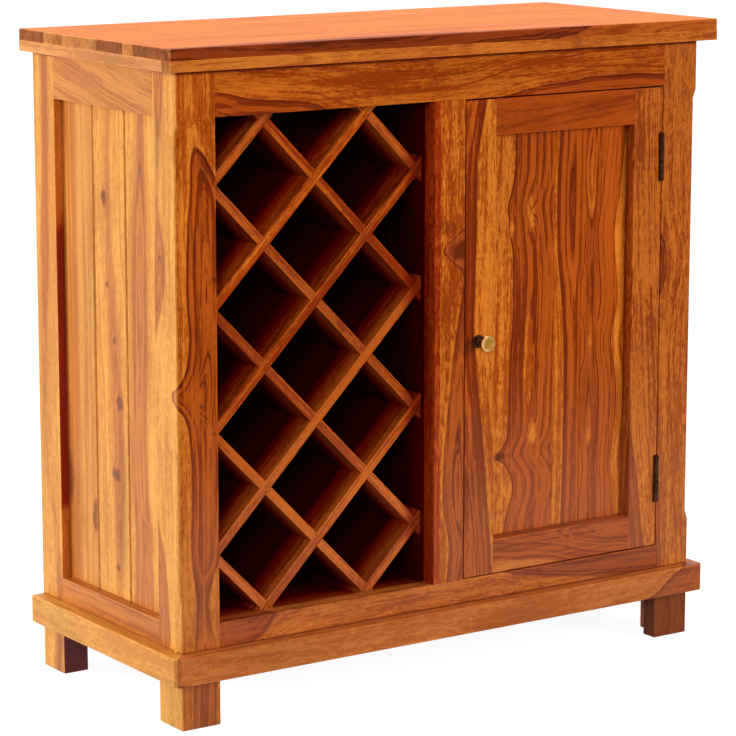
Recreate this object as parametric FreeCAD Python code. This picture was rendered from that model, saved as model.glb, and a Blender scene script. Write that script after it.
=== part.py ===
"""Bar cabinet of solid wood: a wine rack on the left, a cupboard with one door on the right.

Lengths are in millimetres. X runs to the right, Y from the front to the back, Z up. The origin is the
middle of the bottom of the whole cabinet's box, which reaches from the knob to the top's back edge.
"""

import FreeCAD, Part
import math
import os

# Overall size and the top
overall_height = 900.0
top_width = 900.0
top_depth = 400.0
top_overhang = 20.0
top_board_thickness = 15.0
top_edging_thickness = 15.0

# Legs and front frame
front_stile_width = 59.0
frame_thickness = 25.0
side_frame_thickness = 38.0
front_leg_depth = 58.0
stile_edge_seen = 17.5
back_post_depth = 58.0
divider_width = 50.0
leg_chamfer = 6.0
leg_chamfer_above_base = 64.5
leg_chamfer_below_rail = 7.0
leg_chamfer_runout = 14.0
foot_round = 2.0

# Rails; the opening between them is the same for rack and door
bottom_rail_above_floor = 69.5
bottom_rail_height = 70.0
top_rail_height = 77.0
back_rail_height = 70.0
back_rail_thickness = 22.0

# Stub tenons
front_tenon_length = 15.0
front_tenon_thickness = 8.0
front_tenon_setback = 5.0
divider_tenon_length = 12.0
side_tenon_length = 20.0
back_tenon_length = 14.0
back_tenon_setback = 7.0
tenon_shoulder = 8.0

# Side panels of three planks
side_panel_recess = 12.0
side_plank_thickness = 12.0
side_groove_depth = 6.0
side_front_plank_face = 94.5
side_middle_plank_face = 86.0
side_v_groove = 2.8

# Base moulding
base_bottom = 66.0
base_height = 39.0
base_projection = 18.0
base_corner_chamfer = 7.0
base_round = 1.6

# Carcass boards
board_thickness = 18.0
bottom_board_drop = 4.0
bottom_board_tongue = 8.0
bottom_board_back_tongue = 5.0
back_panel_thickness = 6.0
back_panel_setback = 8.0
back_panel_groove = 6.0

# Shelf in the cupboard
shelf_above_bottom_board = 334.5
shelf_before_leg_edge = 16.0
shelf_back_gap = 5.0
shelf_side_gap = 0.8
peg_radius = 3.0
peg_length = 18.0
peg_in_wood = 9.0
peg_from_leg_edge = 10.0

# Wine rack
rack_setback = 33.0
rack_back_gap = 13.0
rack_board_thickness = 13.0
rack_columns = 4
rack_rows = 8
rack_left_margin = 12.0
rack_right_margin = 8.0
rack_top_margin = 11.0
rack_bottom_margin = 3.5
rack_lap_play = 0.1
rack_round = 1.2

# Door
door_gap = 2.0
door_stile_width = 50.0
door_top_rail_height = 50.0
door_bottom_rail_height = 48.0
door_tenon_length = 20.0
door_tenon_thickness = 7.0
door_tenon_setback = 6.0
door_panel_recess = 16.0
door_rebate_width = 9.0
door_panel_play = 0.5
door_left_plank_face = 114.0
door_middle_plank_face = 48.0
door_v_groove = 1.0

# Hinges
hinge_length = 68.0
hinge_end_distance = 64.5
hinge_knuckles = 5
hinge_barrel_radius = 3.75
hinge_pin_radius = 1.75
hinge_pin_overrun = 0.8
hinge_leaf_thickness = 1.4
hinge_leaf_depth = 22.0
hinge_leaf_gap = 0.4
hinge_frame_mortise = 0.3
hinge_barrel_stand_out = 2.0
hinge_scoop_play = 0.35
hinge_knuckle_play = 0.15
hinge_screw_spacing = 24.0
hinge_screw_head_radius = 2.9
hinge_screw_radius = 1.5
hinge_screw_length = 16.0

# Knob
knob_from_door_edge = 21.5
rosette_radius = 9.5
rosette_thickness = 2.6
knob_neck_radius = 4.2
knob_waist_radius = 3.6
knob_neck_length = 15.5
knob_head_radius = 11.8
knob_rim_thickness = 2.4
knob_head_taper = 3.2
knob_dome_height = 4.3
knob_screw_radius = 2.0
knob_screw_head_radius = 4.2
knob_screw_head_thickness = 2.4
knob_screw_bite = 9.0

# Magnetic catch
catch_width = 46.0
catch_depth = 15.0
catch_height = 26.0
catch_hang = 13.0
catch_from_door_edge = 62.0
catch_plate_width = 38.0
catch_plate_height = 13.0
catch_plate_thickness = 1.6
catch_plate_drop = 2.0
catch_gap = 0.4

# Finish and fits
arris = 1.2
small_arris = 0.8
hole_play = 0.05
overrun = 5.0

# Places worked out from the sizes above
body_width = top_width - 2 * top_overhang
body_depth = top_depth - top_overhang
frame_top = overall_height - top_board_thickness
knob_head_length = knob_head_taper + knob_rim_thickness + knob_dome_height
knob_reach = rosette_thickness + knob_neck_length + knob_head_length
left = -body_width / 2
right = body_width / 2
front = (knob_reach - body_depth) / 2
back = front + body_depth
frame_back = front + frame_thickness
stile_left_inner = left + front_stile_width
stile_right_inner = right - front_stile_width
bay_width = (stile_right_inner - stile_left_inner - divider_width) / 2
divider_left = stile_left_inner + bay_width
divider_right = divider_left + divider_width
opening_bottom = bottom_rail_above_floor + bottom_rail_height
opening_top = frame_top - top_rail_height
leg_chamfer_bottom = base_bottom + base_height + leg_chamfer_above_base
leg_chamfer_top = opening_top - leg_chamfer_below_rail
side_inner = left + side_frame_thickness
side_panel_front = front + front_leg_depth
side_panel_back = back - back_post_depth
plank_outer = left + side_panel_recess
plank_inner = plank_outer + side_plank_thickness
panel_groove_bottom = opening_bottom - side_groove_depth
panel_groove_top = opening_top + side_groove_depth
back_panel_back = back - back_panel_setback
back_panel_front = back_panel_back - back_panel_thickness
back_rail_front = back - back_rail_thickness
back_rail_low = frame_top - back_rail_height
floor_top = opening_bottom - bottom_board_drop
floor_bottom = floor_top - board_thickness
partition_right = divider_left + board_thickness
shelf_bottom = floor_top + shelf_above_bottom_board
door_left = divider_right + door_gap
door_right = stile_right_inner - door_gap
door_bottom = opening_bottom + door_gap
door_top = opening_top - door_gap
door_middle = (door_bottom + door_top) / 2
door_rebate_front = front + door_panel_recess
door_panel_left = door_left + door_stile_width
door_panel_right = door_right - door_stile_width
door_panel_bottom = door_bottom + door_bottom_rail_height
door_panel_top = door_top - door_top_rail_height
hinge_axis_x = stile_right_inner + hinge_frame_mortise - hinge_barrel_radius
hinge_axis_y = front - hinge_barrel_stand_out
hinge_bottoms = (door_bottom + hinge_end_distance, door_top - hinge_end_distance - hinge_length)
frame_leaf_right = stile_right_inner + hinge_frame_mortise
frame_leaf_left = frame_leaf_right - hinge_leaf_thickness
door_leaf_right = frame_leaf_left - hinge_leaf_gap
door_leaf_left = door_leaf_right - hinge_leaf_thickness
leaf_front = hinge_axis_y + hinge_barrel_radius + hinge_scoop_play
leaf_back = front + hinge_leaf_depth
knob_x = door_left + knob_from_door_edge
rack_top = opening_top
rack_front = front + rack_setback
rack_back = back_panel_front - rack_back_gap


def vec(x, y, z):
    return FreeCAD.Vector(x, y, z)


def block(x0, x1, y0, y1, z0, z1):
    """A box between two corners."""
    return Part.makeBox(x1 - x0, y1 - y0, z1 - z0, vec(x0, y0, z0))


def rounded(shape, radius, chosen):
    """The shape with each straight edge rounded whose middle point and direction are chosen."""
    picked = []
    for edge in shape.Edges:
        if edge.Curve.TypeId != "Part::GeomLine":
            continue
        if chosen(edge.CenterOfMass, edge.tangentAt(edge.FirstParameter)):
            picked.append(edge)
    if not picked:
        return shape
    return shape.makeFillet(radius, picked)


def runs_along(way, axis):
    """Whether a direction lies along the axis x, y or z."""
    return abs(getattr(way, axis)) > math.cos(math.radians(1))


def eased(shape, axis, radius=arris):
    """The shape with its long edges, which run along the axis x, y or z, rounded by hand-sanding."""
    return rounded(shape, radius, lambda middle, way: runs_along(way, axis))


def mirrored(shape):
    """The same piece for the other side of the cabinet."""
    return shape.mirror(vec(0, 0, 0), vec(1, 0, 0))


def prism(points, z0, z1):
    """A flat outline in X and Y, raised from z0 to z1."""
    corners = [vec(x, y, z0) for x, y in points]
    wire = Part.makePolygon(corners + corners[:1])
    return Part.Face(wire).extrude(vec(0, 0, z1 - z0))


def turned(profile, base, way):
    """A turned piece: its half outline as (distance along the axis, radius), set at base along way."""
    corners = [vec(r, 0, d) for d, r in profile]
    wire = Part.makePolygon(corners + corners[:1])
    solid = Part.Face(wire).revolve(vec(0, 0, 0), vec(0, 0, 1), 360)
    solid.Placement = FreeCAD.Placement(base, FreeCAD.Rotation(vec(0, 0, 1), way))
    return solid


def leg_chamfer_tools():
    """What the stopped chamfer takes off the outer front edge of the left front stile."""
    def outline(leg, z):
        reach = leg + overrun
        points = [
            vec(left - overrun, front - overrun, z),
            vec(left + reach, front - overrun, z),
            vec(left - overrun, front + reach, z),
        ]
        return Part.makePolygon(points + points[:1])

    low = leg_chamfer_bottom + leg_chamfer_runout
    high = leg_chamfer_top - leg_chamfer_runout
    lower_end = Part.makeLoft([outline(0, leg_chamfer_bottom), outline(leg_chamfer, low)], True, True)
    middle = Part.makeLoft([outline(leg_chamfer, low), outline(leg_chamfer, high)], True, True)
    upper_end = Part.makeLoft([outline(leg_chamfer, high), outline(0, leg_chamfer_top)], True, True)
    return [lower_end, middle, upper_end]


def tenon_end(low, high):
    """The lower and upper edge of a tenon on a rail of the given edges."""
    return low + tenon_shoulder, high - tenon_shoulder


def front_tenon(x0, x1, z0, z1):
    """A tenon or its mortise in the front frame."""
    y0 = front + front_tenon_setback
    return block(x0, x1, y0, y0 + front_tenon_thickness, z0, z1)


def side_tenon(y0, y1, z0, z1):
    """A tenon or its mortise in the left side frame, in line with the groove for the planks."""
    return block(plank_outer, plank_inner, y0, y1, z0, z1)


def back_tenon(x0, x1, z0, z1):
    """A tenon or its mortise in the back frame."""
    y1 = back - back_tenon_setback
    return block(x0, x1, y1 - back_panel_thickness, y1, z0, z1)


def front_rail_heights():
    """The lower and upper edge of the front bottom rail and of the front top rail."""
    return (bottom_rail_above_floor, opening_bottom), (opening_top, frame_top)


def back_rail_heights():
    """The lower and upper edge of the back bottom rail and of the back top rail."""
    return (bottom_rail_above_floor, opening_bottom), (back_rail_low, frame_top)


def top_pieces():
    """The top board and the edging strips under its rim."""
    rim_left = left - top_overhang
    rim_front = front - top_overhang
    board = block(rim_left, -rim_left, rim_front, back, frame_top, overall_height)

    def rim(middle, way):
        """The board's upright corners and the four edges of its upper face."""
        return runs_along(way, "z") or middle.z > overall_height - small_arris

    edging_low = frame_top - top_edging_thickness
    front_strip = block(rim_left, -rim_left, rim_front, front, edging_low, frame_top)
    side_strip = block(rim_left, left, front, back, edging_low, frame_top)
    return {
        "top_board": rounded(board, arris, rim),
        "top_edging_front": eased(front_strip, "x", small_arris),
        "top_edging_left": eased(side_strip, "y", small_arris),
        "top_edging_right": mirrored(eased(side_strip, "y", small_arris)),
    }


def front_stile():
    """The left front stile: rebated behind for the side stile, chamfered on its outer edge."""
    stile = eased(block(left, stile_left_inner, front, frame_back, 0, frame_top), "z")
    stile = rounded(stile, foot_round, lambda middle, way: middle.z < small_arris)
    rebate = block(left - overrun, side_inner, front + stile_edge_seen, frame_back + overrun, -overrun,
                   frame_top + overrun)
    stile = stile.cut([rebate] + leg_chamfer_tools())
    mortise_left = stile_left_inner - front_tenon_length
    for low, high in front_rail_heights():
        z0, z1 = tenon_end(low, high)
        stile = stile.cut(front_tenon(mortise_left, stile_left_inner + overrun, z0, z1))
    return stile


def side_stile():
    """The left side stile behind the front stile, with the groove for the planks."""
    front_edge = front + stile_edge_seen
    stile = eased(block(left, side_inner, front_edge, side_panel_front, 0, frame_top), "z", small_arris)
    stile = rounded(stile, foot_round, lambda middle, way: middle.z < small_arris)
    groove = block(plank_outer, plank_inner, side_panel_front - side_groove_depth, side_panel_front + overrun,
                   panel_groove_bottom, panel_groove_top)
    stile = stile.cut(groove)
    mortise_front = side_panel_front - side_tenon_length
    for low, high in front_rail_heights():
        z0, z1 = tenon_end(low, high)
        stile = stile.cut(side_tenon(mortise_front, side_panel_front + overrun, z0, z1))
    return stile


def back_post():
    """The left back post, with its grooves for the side planks and the back panel."""
    post = eased(block(left, side_inner, side_panel_back, back, 0, frame_top), "z")
    post = rounded(post, foot_round, lambda middle, way: middle.z < small_arris)
    side_groove = block(plank_outer, plank_inner, side_panel_back - overrun,
                        side_panel_back + side_groove_depth, panel_groove_bottom, panel_groove_top)
    panel_groove = block(side_inner - back_panel_groove, side_inner + overrun, back_panel_front,
                         back_panel_back, opening_bottom, back_rail_low)
    post = post.cut([side_groove, panel_groove])
    mortise_back = side_panel_back + side_tenon_length
    for low, high in front_rail_heights():
        z0, z1 = tenon_end(low, high)
        post = post.cut(side_tenon(side_panel_back - overrun, mortise_back, z0, z1))
    mortise_left = side_inner - back_tenon_length
    for low, high in back_rail_heights():
        z0, z1 = tenon_end(low, high)
        post = post.cut(back_tenon(mortise_left, side_inner + overrun, z0, z1))
    return post


def front_rail(low, high):
    """A front rail between the front stiles, with a tenon at each end."""
    rail = eased(block(stile_left_inner, stile_right_inner, front, frame_back, low, high), "x")
    z0, z1 = tenon_end(low, high)
    return rail.fuse([
        front_tenon(stile_left_inner - front_tenon_length, stile_left_inner, z0, z1),
        front_tenon(stile_right_inner, stile_right_inner + front_tenon_length, z0, z1),
    ]).removeSplitter()


def divider_tenon(low, high):
    """The tenon at one end of the divider stile, or its mortise in a rail."""
    x0 = divider_left + tenon_shoulder
    return front_tenon(x0, divider_right - tenon_shoulder, low, high)


def front_frame():
    bottom_edges, top_edges = front_rail_heights()
    top_tenon = divider_tenon(opening_top, opening_top + divider_tenon_length)
    bottom_tenon = divider_tenon(opening_bottom - divider_tenon_length, opening_bottom)
    floor_groove = block(stile_left_inner, stile_right_inner, frame_back - bottom_board_tongue,
                         frame_back + overrun, floor_bottom, floor_top)
    divider = eased(block(divider_left, divider_right, front, frame_back, opening_bottom, opening_top), "z")
    return {
        "front_top_rail": front_rail(*top_edges).cut(top_tenon),
        "front_bottom_rail": front_rail(*bottom_edges).cut([bottom_tenon, floor_groove]),
        "divider_stile": divider.fuse([top_tenon, bottom_tenon]).removeSplitter(),
    }


def side_rail(low, high):
    """A rail of the left side frame, with the groove for the ends of the planks."""
    rail = eased(block(left, side_inner, side_panel_front, side_panel_back, low, high), "y")
    rail = rail.cut(block(plank_outer, plank_inner, side_panel_front, side_panel_back,
                          panel_groove_bottom, panel_groove_top))
    z0, z1 = tenon_end(low, high)
    return rail.fuse([
        side_tenon(side_panel_front - side_tenon_length, side_panel_front, z0, z1),
        side_tenon(side_panel_back, side_panel_back + side_tenon_length, z0, z1),
    ]).removeSplitter()


def v_groove(x, y, size, z0, z1, way):
    """Half of a V-groove along a plank's outer edge; way is the side of the joint that the plank lies on."""
    points = [(x - overrun, y - way * overrun), (x - overrun, y + way * (size + overrun)), (x + size, y),
              (x + size, y - way * overrun)]
    return prism(points, z0, z1)


def side_planks():
    """The three upright planks of the left side, front to back."""
    joints = [
        side_panel_front - side_groove_depth,
        side_panel_front + side_front_plank_face,
        side_panel_front + side_front_plank_face + side_middle_plank_face,
        side_panel_back + side_groove_depth,
    ]
    low = panel_groove_bottom
    high = panel_groove_top
    planks = {}
    for place, name in enumerate(("front", "middle", "back")):
        y0, y1 = joints[place], joints[place + 1]
        plank = block(plank_outer, plank_inner, y0, y1, low, high)
        if place > 0:
            plank = plank.cut(v_groove(plank_outer, y0, side_v_groove, low - overrun, high + overrun, 1))
        if place < len(joints) - 2:
            plank = plank.cut(v_groove(plank_outer, y1, side_v_groove, low - overrun, high + overrun, -1))
        planks["side_plank_%s_left" % name] = plank
    return planks


def side_frames():
    """Legs, rails and planks of the left side, and the same mirrored for the right side."""
    bottom_edges, top_edges = front_rail_heights()
    pieces = {
        "front_stile_left": front_stile(),
        "side_stile_left": side_stile(),
        "back_post_left": back_post(),
        "side_top_rail_left": side_rail(*top_edges),
        "side_bottom_rail_left": side_rail(*bottom_edges),
    }
    pieces.update(side_planks())
    for name in list(pieces):
        pieces[name.replace("_left", "_right")] = mirrored(pieces[name])
    return pieces


def base_mouldings():
    """The moulding round the foot of the body, mitred at the front corners, which are clipped."""
    out = base_projection
    half_clip = base_corner_chamfer / 2
    mitre = (left - out + half_clip, front - out + half_clip)
    front_points = [(left, front), mitre, (left - out + base_corner_chamfer, front - out)]
    front_points += [(-x, y) for x, y in reversed(front_points)]
    left_points = [(left, front), mitre, (left - out, front - out + base_corner_chamfer), (left - out, back),
                   (left, back)]
    top = base_bottom + base_height

    def soft(shape, along):
        """Rounds the outer edges at the top and bottom of a moulding."""
        def outer(middle, way):
            level = middle.z > top - small_arris or middle.z < base_bottom + small_arris
            inward = middle.y - front if along == "x" else middle.x - left
            on_face = inward < small_arris - out
            return level and on_face and runs_along(way, along)
        return rounded(shape, base_round, outer)

    side = soft(prism(left_points, base_bottom, top), "y")
    return {
        "base_moulding_front": soft(prism(front_points, base_bottom, top), "x"),
        "base_moulding_left": side,
        "base_moulding_right": mirrored(side),
    }


def back_frame():
    """The two back rails and the plywood panel in its grooves."""
    pieces = {}
    for name, (low, high) in zip(("back_bottom_rail", "back_top_rail"), back_rail_heights()):
        rail = eased(block(side_inner, -side_inner, back_rail_front, back, low, high), "x")
        z0, z1 = tenon_end(low, high)
        pieces[name] = rail.fuse([
            back_tenon(side_inner - back_tenon_length, side_inner, z0, z1),
            back_tenon(-side_inner, -side_inner + back_tenon_length, z0, z1),
        ]).removeSplitter()
    panel_low = opening_bottom - back_panel_groove
    panel_high = back_rail_low + back_panel_groove
    panel_slot = block(side_inner, -side_inner, back_panel_front, back_panel_back, panel_low, panel_high)
    floor_groove = block(side_inner, -side_inner, back_rail_front - overrun,
                         back_rail_front + bottom_board_back_tongue, floor_bottom, floor_top)
    pieces["back_bottom_rail"] = pieces["back_bottom_rail"].cut([panel_slot, floor_groove])
    pieces["back_top_rail"] = pieces["back_top_rail"].cut(panel_slot)
    upright = block(side_inner - back_panel_groove, -side_inner + back_panel_groove, back_panel_front,
                    back_panel_back, opening_bottom, back_rail_low)
    pieces["back_panel"] = panel_slot.fuse(upright).removeSplitter()
    return pieces


def carcass_boards():
    """Bottom board, partition and rack lining."""
    floor = block(side_inner, -side_inner, frame_back, back_rail_front, floor_bottom, floor_top)
    front_tongue = block(stile_left_inner, stile_right_inner, frame_back - bottom_board_tongue, frame_back,
                         floor_bottom, floor_top)
    back_tongue = block(side_inner, -side_inner, back_rail_front, back_rail_front + bottom_board_back_tongue,
                        floor_bottom, floor_top)

    def upright(x0, x1):
        """A standing board from the bottom board to the top, notched round the back rails."""
        board = block(x0, x1, frame_back, back_panel_front, floor_top, frame_top)
        rails = [block(x0, x1, back_rail_front, back, low, high) for low, high in back_rail_heights()]
        return board.cut(rails)

    return {
        "bottom_board": floor.fuse([front_tongue, back_tongue]).removeSplitter(),
        "partition": upright(divider_left, partition_right),
        "rack_lining": upright(side_inner, stile_left_inner),
    }


def shelf_pieces():
    """The shelf, its four pegs, and the holes of the pegs."""
    shelf = block(partition_right + shelf_side_gap, -side_inner - shelf_side_gap,
                  side_panel_front - shelf_before_leg_edge, back_panel_front - shelf_back_gap,
                  shelf_bottom, shelf_bottom + board_thickness)
    pegs = []
    holes = []
    for wall, way in ((partition_right, 1), (-side_inner, -1)):
        for y in (side_panel_front - peg_from_leg_edge, side_panel_back + peg_from_leg_edge):
            start = vec(wall - way * peg_in_wood, y, shelf_bottom - peg_radius)
            axis = vec(way, 0, 0)
            pegs.append(Part.makeCylinder(peg_radius, peg_length, start, axis))
            holes.append(Part.makeCylinder(peg_radius + hole_play, peg_in_wood + overrun, start, axis))
    return eased(shelf, "x", small_arris), pegs, holes


def rack_boards():
    """The lattice: boards that rise to the right and boards that fall, half-lapped where they cross."""
    x0 = stile_left_inner + rack_left_margin
    column = (bay_width - rack_left_margin - rack_right_margin) / rack_columns
    top_row = rack_top - rack_top_margin
    row = (top_row - floor_top - rack_bottom_margin) / rack_rows
    slope = math.degrees(math.atan2(row, column))
    reach = (rack_columns + rack_rows) * max(row, column)
    bay = block(stile_left_inner, divider_left, rack_front, rack_back, floor_top, rack_top)
    middle_y = (rack_front + rack_back) / 2

    def strip(number, rising, y0, y1, thickness, soft):
        """A long board through the vertices whose column plus or minus row is number."""
        start = vec(x0, 0, top_row - row * number) if rising else vec(x0, 0, top_row + row * number)
        board = block(-reach, reach, y0, y1, -thickness / 2, thickness / 2)
        if soft:
            board = eased(board, "x", rack_round)
        turn = -slope if rising else slope
        board.Placement = FreeCAD.Placement(start, FreeCAD.Rotation(vec(0, 1, 0), turn))
        return board

    last_sum = rack_columns + rack_rows - 1
    risers = list(range(1, last_sum + 1, 2))
    fallers = list(range(rack_columns - 1, -rack_rows, -2))
    slot = rack_board_thickness + 2 * rack_lap_play
    pieces = {}
    corners = []
    for rising, numbers, others in ((True, risers, fallers), (False, fallers, risers)):
        lap = (middle_y, rack_back + overrun) if rising else (rack_front - overrun, middle_y)
        slots = [strip(other, not rising, lap[0], lap[1], slot, False) for other in others]
        for place, number in enumerate(numbers):
            board = strip(number, rising, rack_front, rack_back, rack_board_thickness, True).common(bay)
            board = board.cut(slots)
            if place in (0, len(numbers) - 1):
                corners.append(board)
            else:
                kind = "rising" if rising else "falling"
                pieces["rack_board_%s_%d" % (kind, place)] = board
    pieces["rack_corner_boards"] = Part.makeCompound([solid for board in corners for solid in board.Solids])
    return pieces


def door_pieces():
    """Door stiles, rails and panel boards, before the hinge, knob and catch are let in."""
    rebate_low = door_panel_bottom - door_rebate_width
    rebate_high = door_panel_top + door_rebate_width
    window = block(door_panel_left - door_rebate_width, door_panel_right + door_rebate_width,
                   door_rebate_front, frame_back + overrun, rebate_low, rebate_high)
    stile_knob = block(door_left, door_panel_left, front, frame_back, door_bottom, door_top)
    stile_hinge = block(door_panel_right, door_right, front, frame_back, door_bottom, door_top)
    pieces = {
        "door_stile_knob_side": eased(stile_knob, "z", small_arris).cut(window),
        "door_stile_hinge_side": eased(stile_hinge, "z", small_arris).cut(window),
    }
    rails = {
        "door_bottom_rail": (door_bottom, door_panel_bottom),
        "door_top_rail": (door_panel_top, door_top),
    }
    y0 = front + door_tenon_setback
    y1 = y0 + door_tenon_thickness
    for name, (low, high) in rails.items():
        z0, z1 = tenon_end(low, high)
        tenons = [
            block(door_panel_left - door_tenon_length, door_panel_left, y0, y1, z0, z1),
            block(door_panel_right, door_panel_right + door_tenon_length, y0, y1, z0, z1),
        ]
        rail = block(door_panel_left, door_panel_right, front, frame_back, low, high)
        rail = eased(rail, "x", small_arris)
        pieces[name] = rail.cut(window).fuse(tenons).removeSplitter()
        pieces["door_stile_knob_side"] = pieces["door_stile_knob_side"].cut(tenons[0])
        pieces["door_stile_hinge_side"] = pieces["door_stile_hinge_side"].cut(tenons[1])
    joints = [
        door_panel_left - door_rebate_width + door_panel_play,
        door_panel_left + door_left_plank_face,
        door_panel_left + door_left_plank_face + door_middle_plank_face,
        door_panel_right + door_rebate_width - door_panel_play,
    ]
    low = rebate_low + door_panel_play
    high = rebate_high - door_panel_play
    groove_edge = Part.makeBox(2 * door_v_groove, 2 * door_v_groove, high - low + 2 * overrun,
                               vec(-door_v_groove, -door_v_groove, 0))
    groove_edge.rotate(vec(0, 0, 0), vec(0, 0, 1), 45)
    for place, name in enumerate(("left", "middle", "right")):
        board = block(joints[place], joints[place + 1], door_rebate_front, frame_back, low, high)
        for joint in joints[1:-1]:
            board = board.cut(groove_edge.translated(vec(joint, door_rebate_front, low - overrun)))
        pieces["door_plank_%s" % name] = board
    return pieces


def hinge_screw_places():
    """The middle of each screw of a leaf, as (y, z), for both hinges."""
    y = (leaf_front + leaf_back) / 2
    places = []
    for low in hinge_bottoms:
        middle = low + hinge_length / 2
        places += [(y, middle + step * hinge_screw_spacing) for step in (-1, 0, 1)]
    return places


def wood_screw(x, y, z, way, play=0.0):
    """A countersunk screw whose head lies flush at x; way is the direction in which it goes in."""
    axis = vec(way, 0, 0)
    head = Part.makeCone(hinge_screw_head_radius + play, hinge_screw_radius + play, hinge_leaf_thickness,
                         vec(x, y, z), axis)
    shank_start = vec(x + way * hinge_leaf_thickness, y, z)
    shank_length = hinge_screw_length - hinge_leaf_thickness
    shank = Part.makeCylinder(hinge_screw_radius + play, shank_length, shank_start, axis)
    return head.fuse(shank).removeSplitter()


def hinge_leaf(low, frame_side):
    """One leaf of a hinge with its knuckles; the frame's leaf has the first, third and fifth."""
    x0, x1 = (frame_leaf_left, frame_leaf_right) if frame_side else (door_leaf_left, door_leaf_right)
    reach = (hinge_pin_radius + hinge_barrel_radius) / 2
    bridge_front = hinge_axis_y if frame_side else hinge_axis_y + reach
    leaf = block(x0, x1, leaf_front, leaf_back, low, low + hinge_length)
    knuckle = hinge_length / hinge_knuckles
    for number in range(0 if frame_side else 1, hinge_knuckles, 2):
        z0 = low + number * knuckle + (hinge_knuckle_play if number > 0 else 0)
        z1 = low + (number + 1) * knuckle - (hinge_knuckle_play if number < hinge_knuckles - 1 else 0)
        barrel = Part.makeCylinder(hinge_barrel_radius, z1 - z0, vec(hinge_axis_x, hinge_axis_y, z0))
        leaf = leaf.fuse([barrel, block(x0, x1, bridge_front, leaf_front, z0, z1)])
    bore = Part.makeCylinder(hinge_pin_radius + hole_play, hinge_length + 2 * overrun,
                             vec(hinge_axis_x, hinge_axis_y, low - overrun))
    return leaf.removeSplitter().cut(bore)


def hinges(pieces):
    """Leaves, pins and screws of both hinges, let into the right front stile and the door's hinge stile."""
    scoop_radius = hinge_barrel_radius + hinge_scoop_play
    stile_cuts = []
    door_cuts = []
    leaves = {True: [], False: []}
    pins = []
    for low in hinge_bottoms:
        high = low + hinge_length
        leaves[True].append(hinge_leaf(low, True))
        leaves[False].append(hinge_leaf(low, False))
        pin_low = vec(hinge_axis_x, hinge_axis_y, low - hinge_pin_overrun)
        pins.append(Part.makeCylinder(hinge_pin_radius, hinge_length + 2 * hinge_pin_overrun, pin_low))
        stile_cuts.append(block(stile_right_inner - overrun, frame_leaf_right, front - overrun, leaf_back,
                                low, high))
        door_cuts.append(block(door_leaf_left, door_right + overrun, leaf_front - hinge_scoop_play, leaf_back,
                               low, high))
        door_cuts.append(Part.makeCylinder(scoop_radius, hinge_length + 2 * hinge_pin_overrun, pin_low))
    screws = {True: [], False: []}
    for y, z in hinge_screw_places():
        for frame_side, x, way in ((True, frame_leaf_left, 1), (False, door_leaf_right, -1)):
            screws[frame_side].append(wood_screw(x, y, z, way))
            hole = wood_screw(x, y, z, way, hole_play)
            leaves[frame_side] = [leaf.cut(hole) for leaf in leaves[frame_side]]
            (stile_cuts if frame_side else door_cuts).append(hole)
    pieces["front_stile_right"] = pieces["front_stile_right"].cut(stile_cuts)
    pieces["door_stile_hinge_side"] = pieces["door_stile_hinge_side"].cut(door_cuts)
    return {
        "hinge_leaves_frame": Part.makeCompound(leaves[True]),
        "hinge_leaves_door": Part.makeCompound(leaves[False]),
        "hinge_pins": Part.makeCompound(pins),
        "hinge_screws_frame": Part.makeCompound(screws[True]),
        "hinge_screws_door": Part.makeCompound(screws[False]),
    }


def knob_pieces(pieces):
    """Rosette, knob and the screw that goes through the door stile into the knob."""
    outward = vec(0, -1, 0)
    face = vec(knob_x, front, door_middle)
    step = rosette_thickness / 2
    rosette = turned([
        (0, 0),
        (0, rosette_radius),
        (step, rosette_radius),
        (rosette_thickness, rosette_radius - step),
        (rosette_thickness, 0),
    ], face, outward)
    neck = rosette_thickness + knob_neck_length
    rim = neck + knob_head_taper
    dome = rim + knob_rim_thickness
    waist = rosette_thickness + knob_neck_length / 2
    profile = [
        (rosette_thickness, 0),
        (rosette_thickness, knob_neck_radius + step),
        (waist, knob_waist_radius),
        (neck, knob_neck_radius + step),
        (rim, knob_head_radius),
        (dome, knob_head_radius),
    ]
    dome_steps = 6
    for number in range(1, dome_steps):
        turn = math.pi / 2 * number / dome_steps
        reach = dome + knob_dome_height * math.sin(turn)
        profile.append((reach, knob_head_radius * math.cos(turn)))
    profile.append((knob_reach, 0))
    knob = turned(profile, face, outward)
    behind = vec(knob_x, frame_back, door_middle)
    shank_length = frame_thickness + rosette_thickness + knob_screw_bite

    def screw(play):
        head_radius = knob_screw_head_radius + play
        head = Part.makeCylinder(head_radius, knob_screw_head_thickness, behind, vec(0, 1, 0))
        shank = Part.makeCylinder(knob_screw_radius + play, shank_length + play, behind, outward)
        return head.fuse(shank).removeSplitter()

    hole = screw(hole_play)
    stile = pieces["door_stile_knob_side"]
    pieces["door_stile_knob_side"] = stile.cut(hole)
    return {"knob": knob.cut(hole), "knob_rosette": rosette.cut(hole), "knob_screw": screw(0.0)}


def catch_pieces():
    """The magnet on the back of the top rail, hanging behind the door, and its plate on the door."""
    x0 = door_left + catch_from_door_edge
    low = opening_top - catch_hang
    body = block(x0, x0 + catch_width, frame_back, frame_back + catch_depth, low, low + catch_height)
    relief = block(x0 - overrun, x0 + catch_width + overrun, frame_back - overrun,
                   frame_back + catch_plate_thickness + catch_gap, low - overrun, opening_top + small_arris)
    plate_left = x0 + (catch_width - catch_plate_width) / 2
    plate_top = door_top - catch_plate_drop
    plate = block(plate_left, plate_left + catch_plate_width, frame_back, frame_back + catch_plate_thickness,
                  plate_top - catch_plate_height, plate_top)
    return {"catch_magnet": eased(body, "z", small_arris).cut(relief), "catch_plate": plate}


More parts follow.
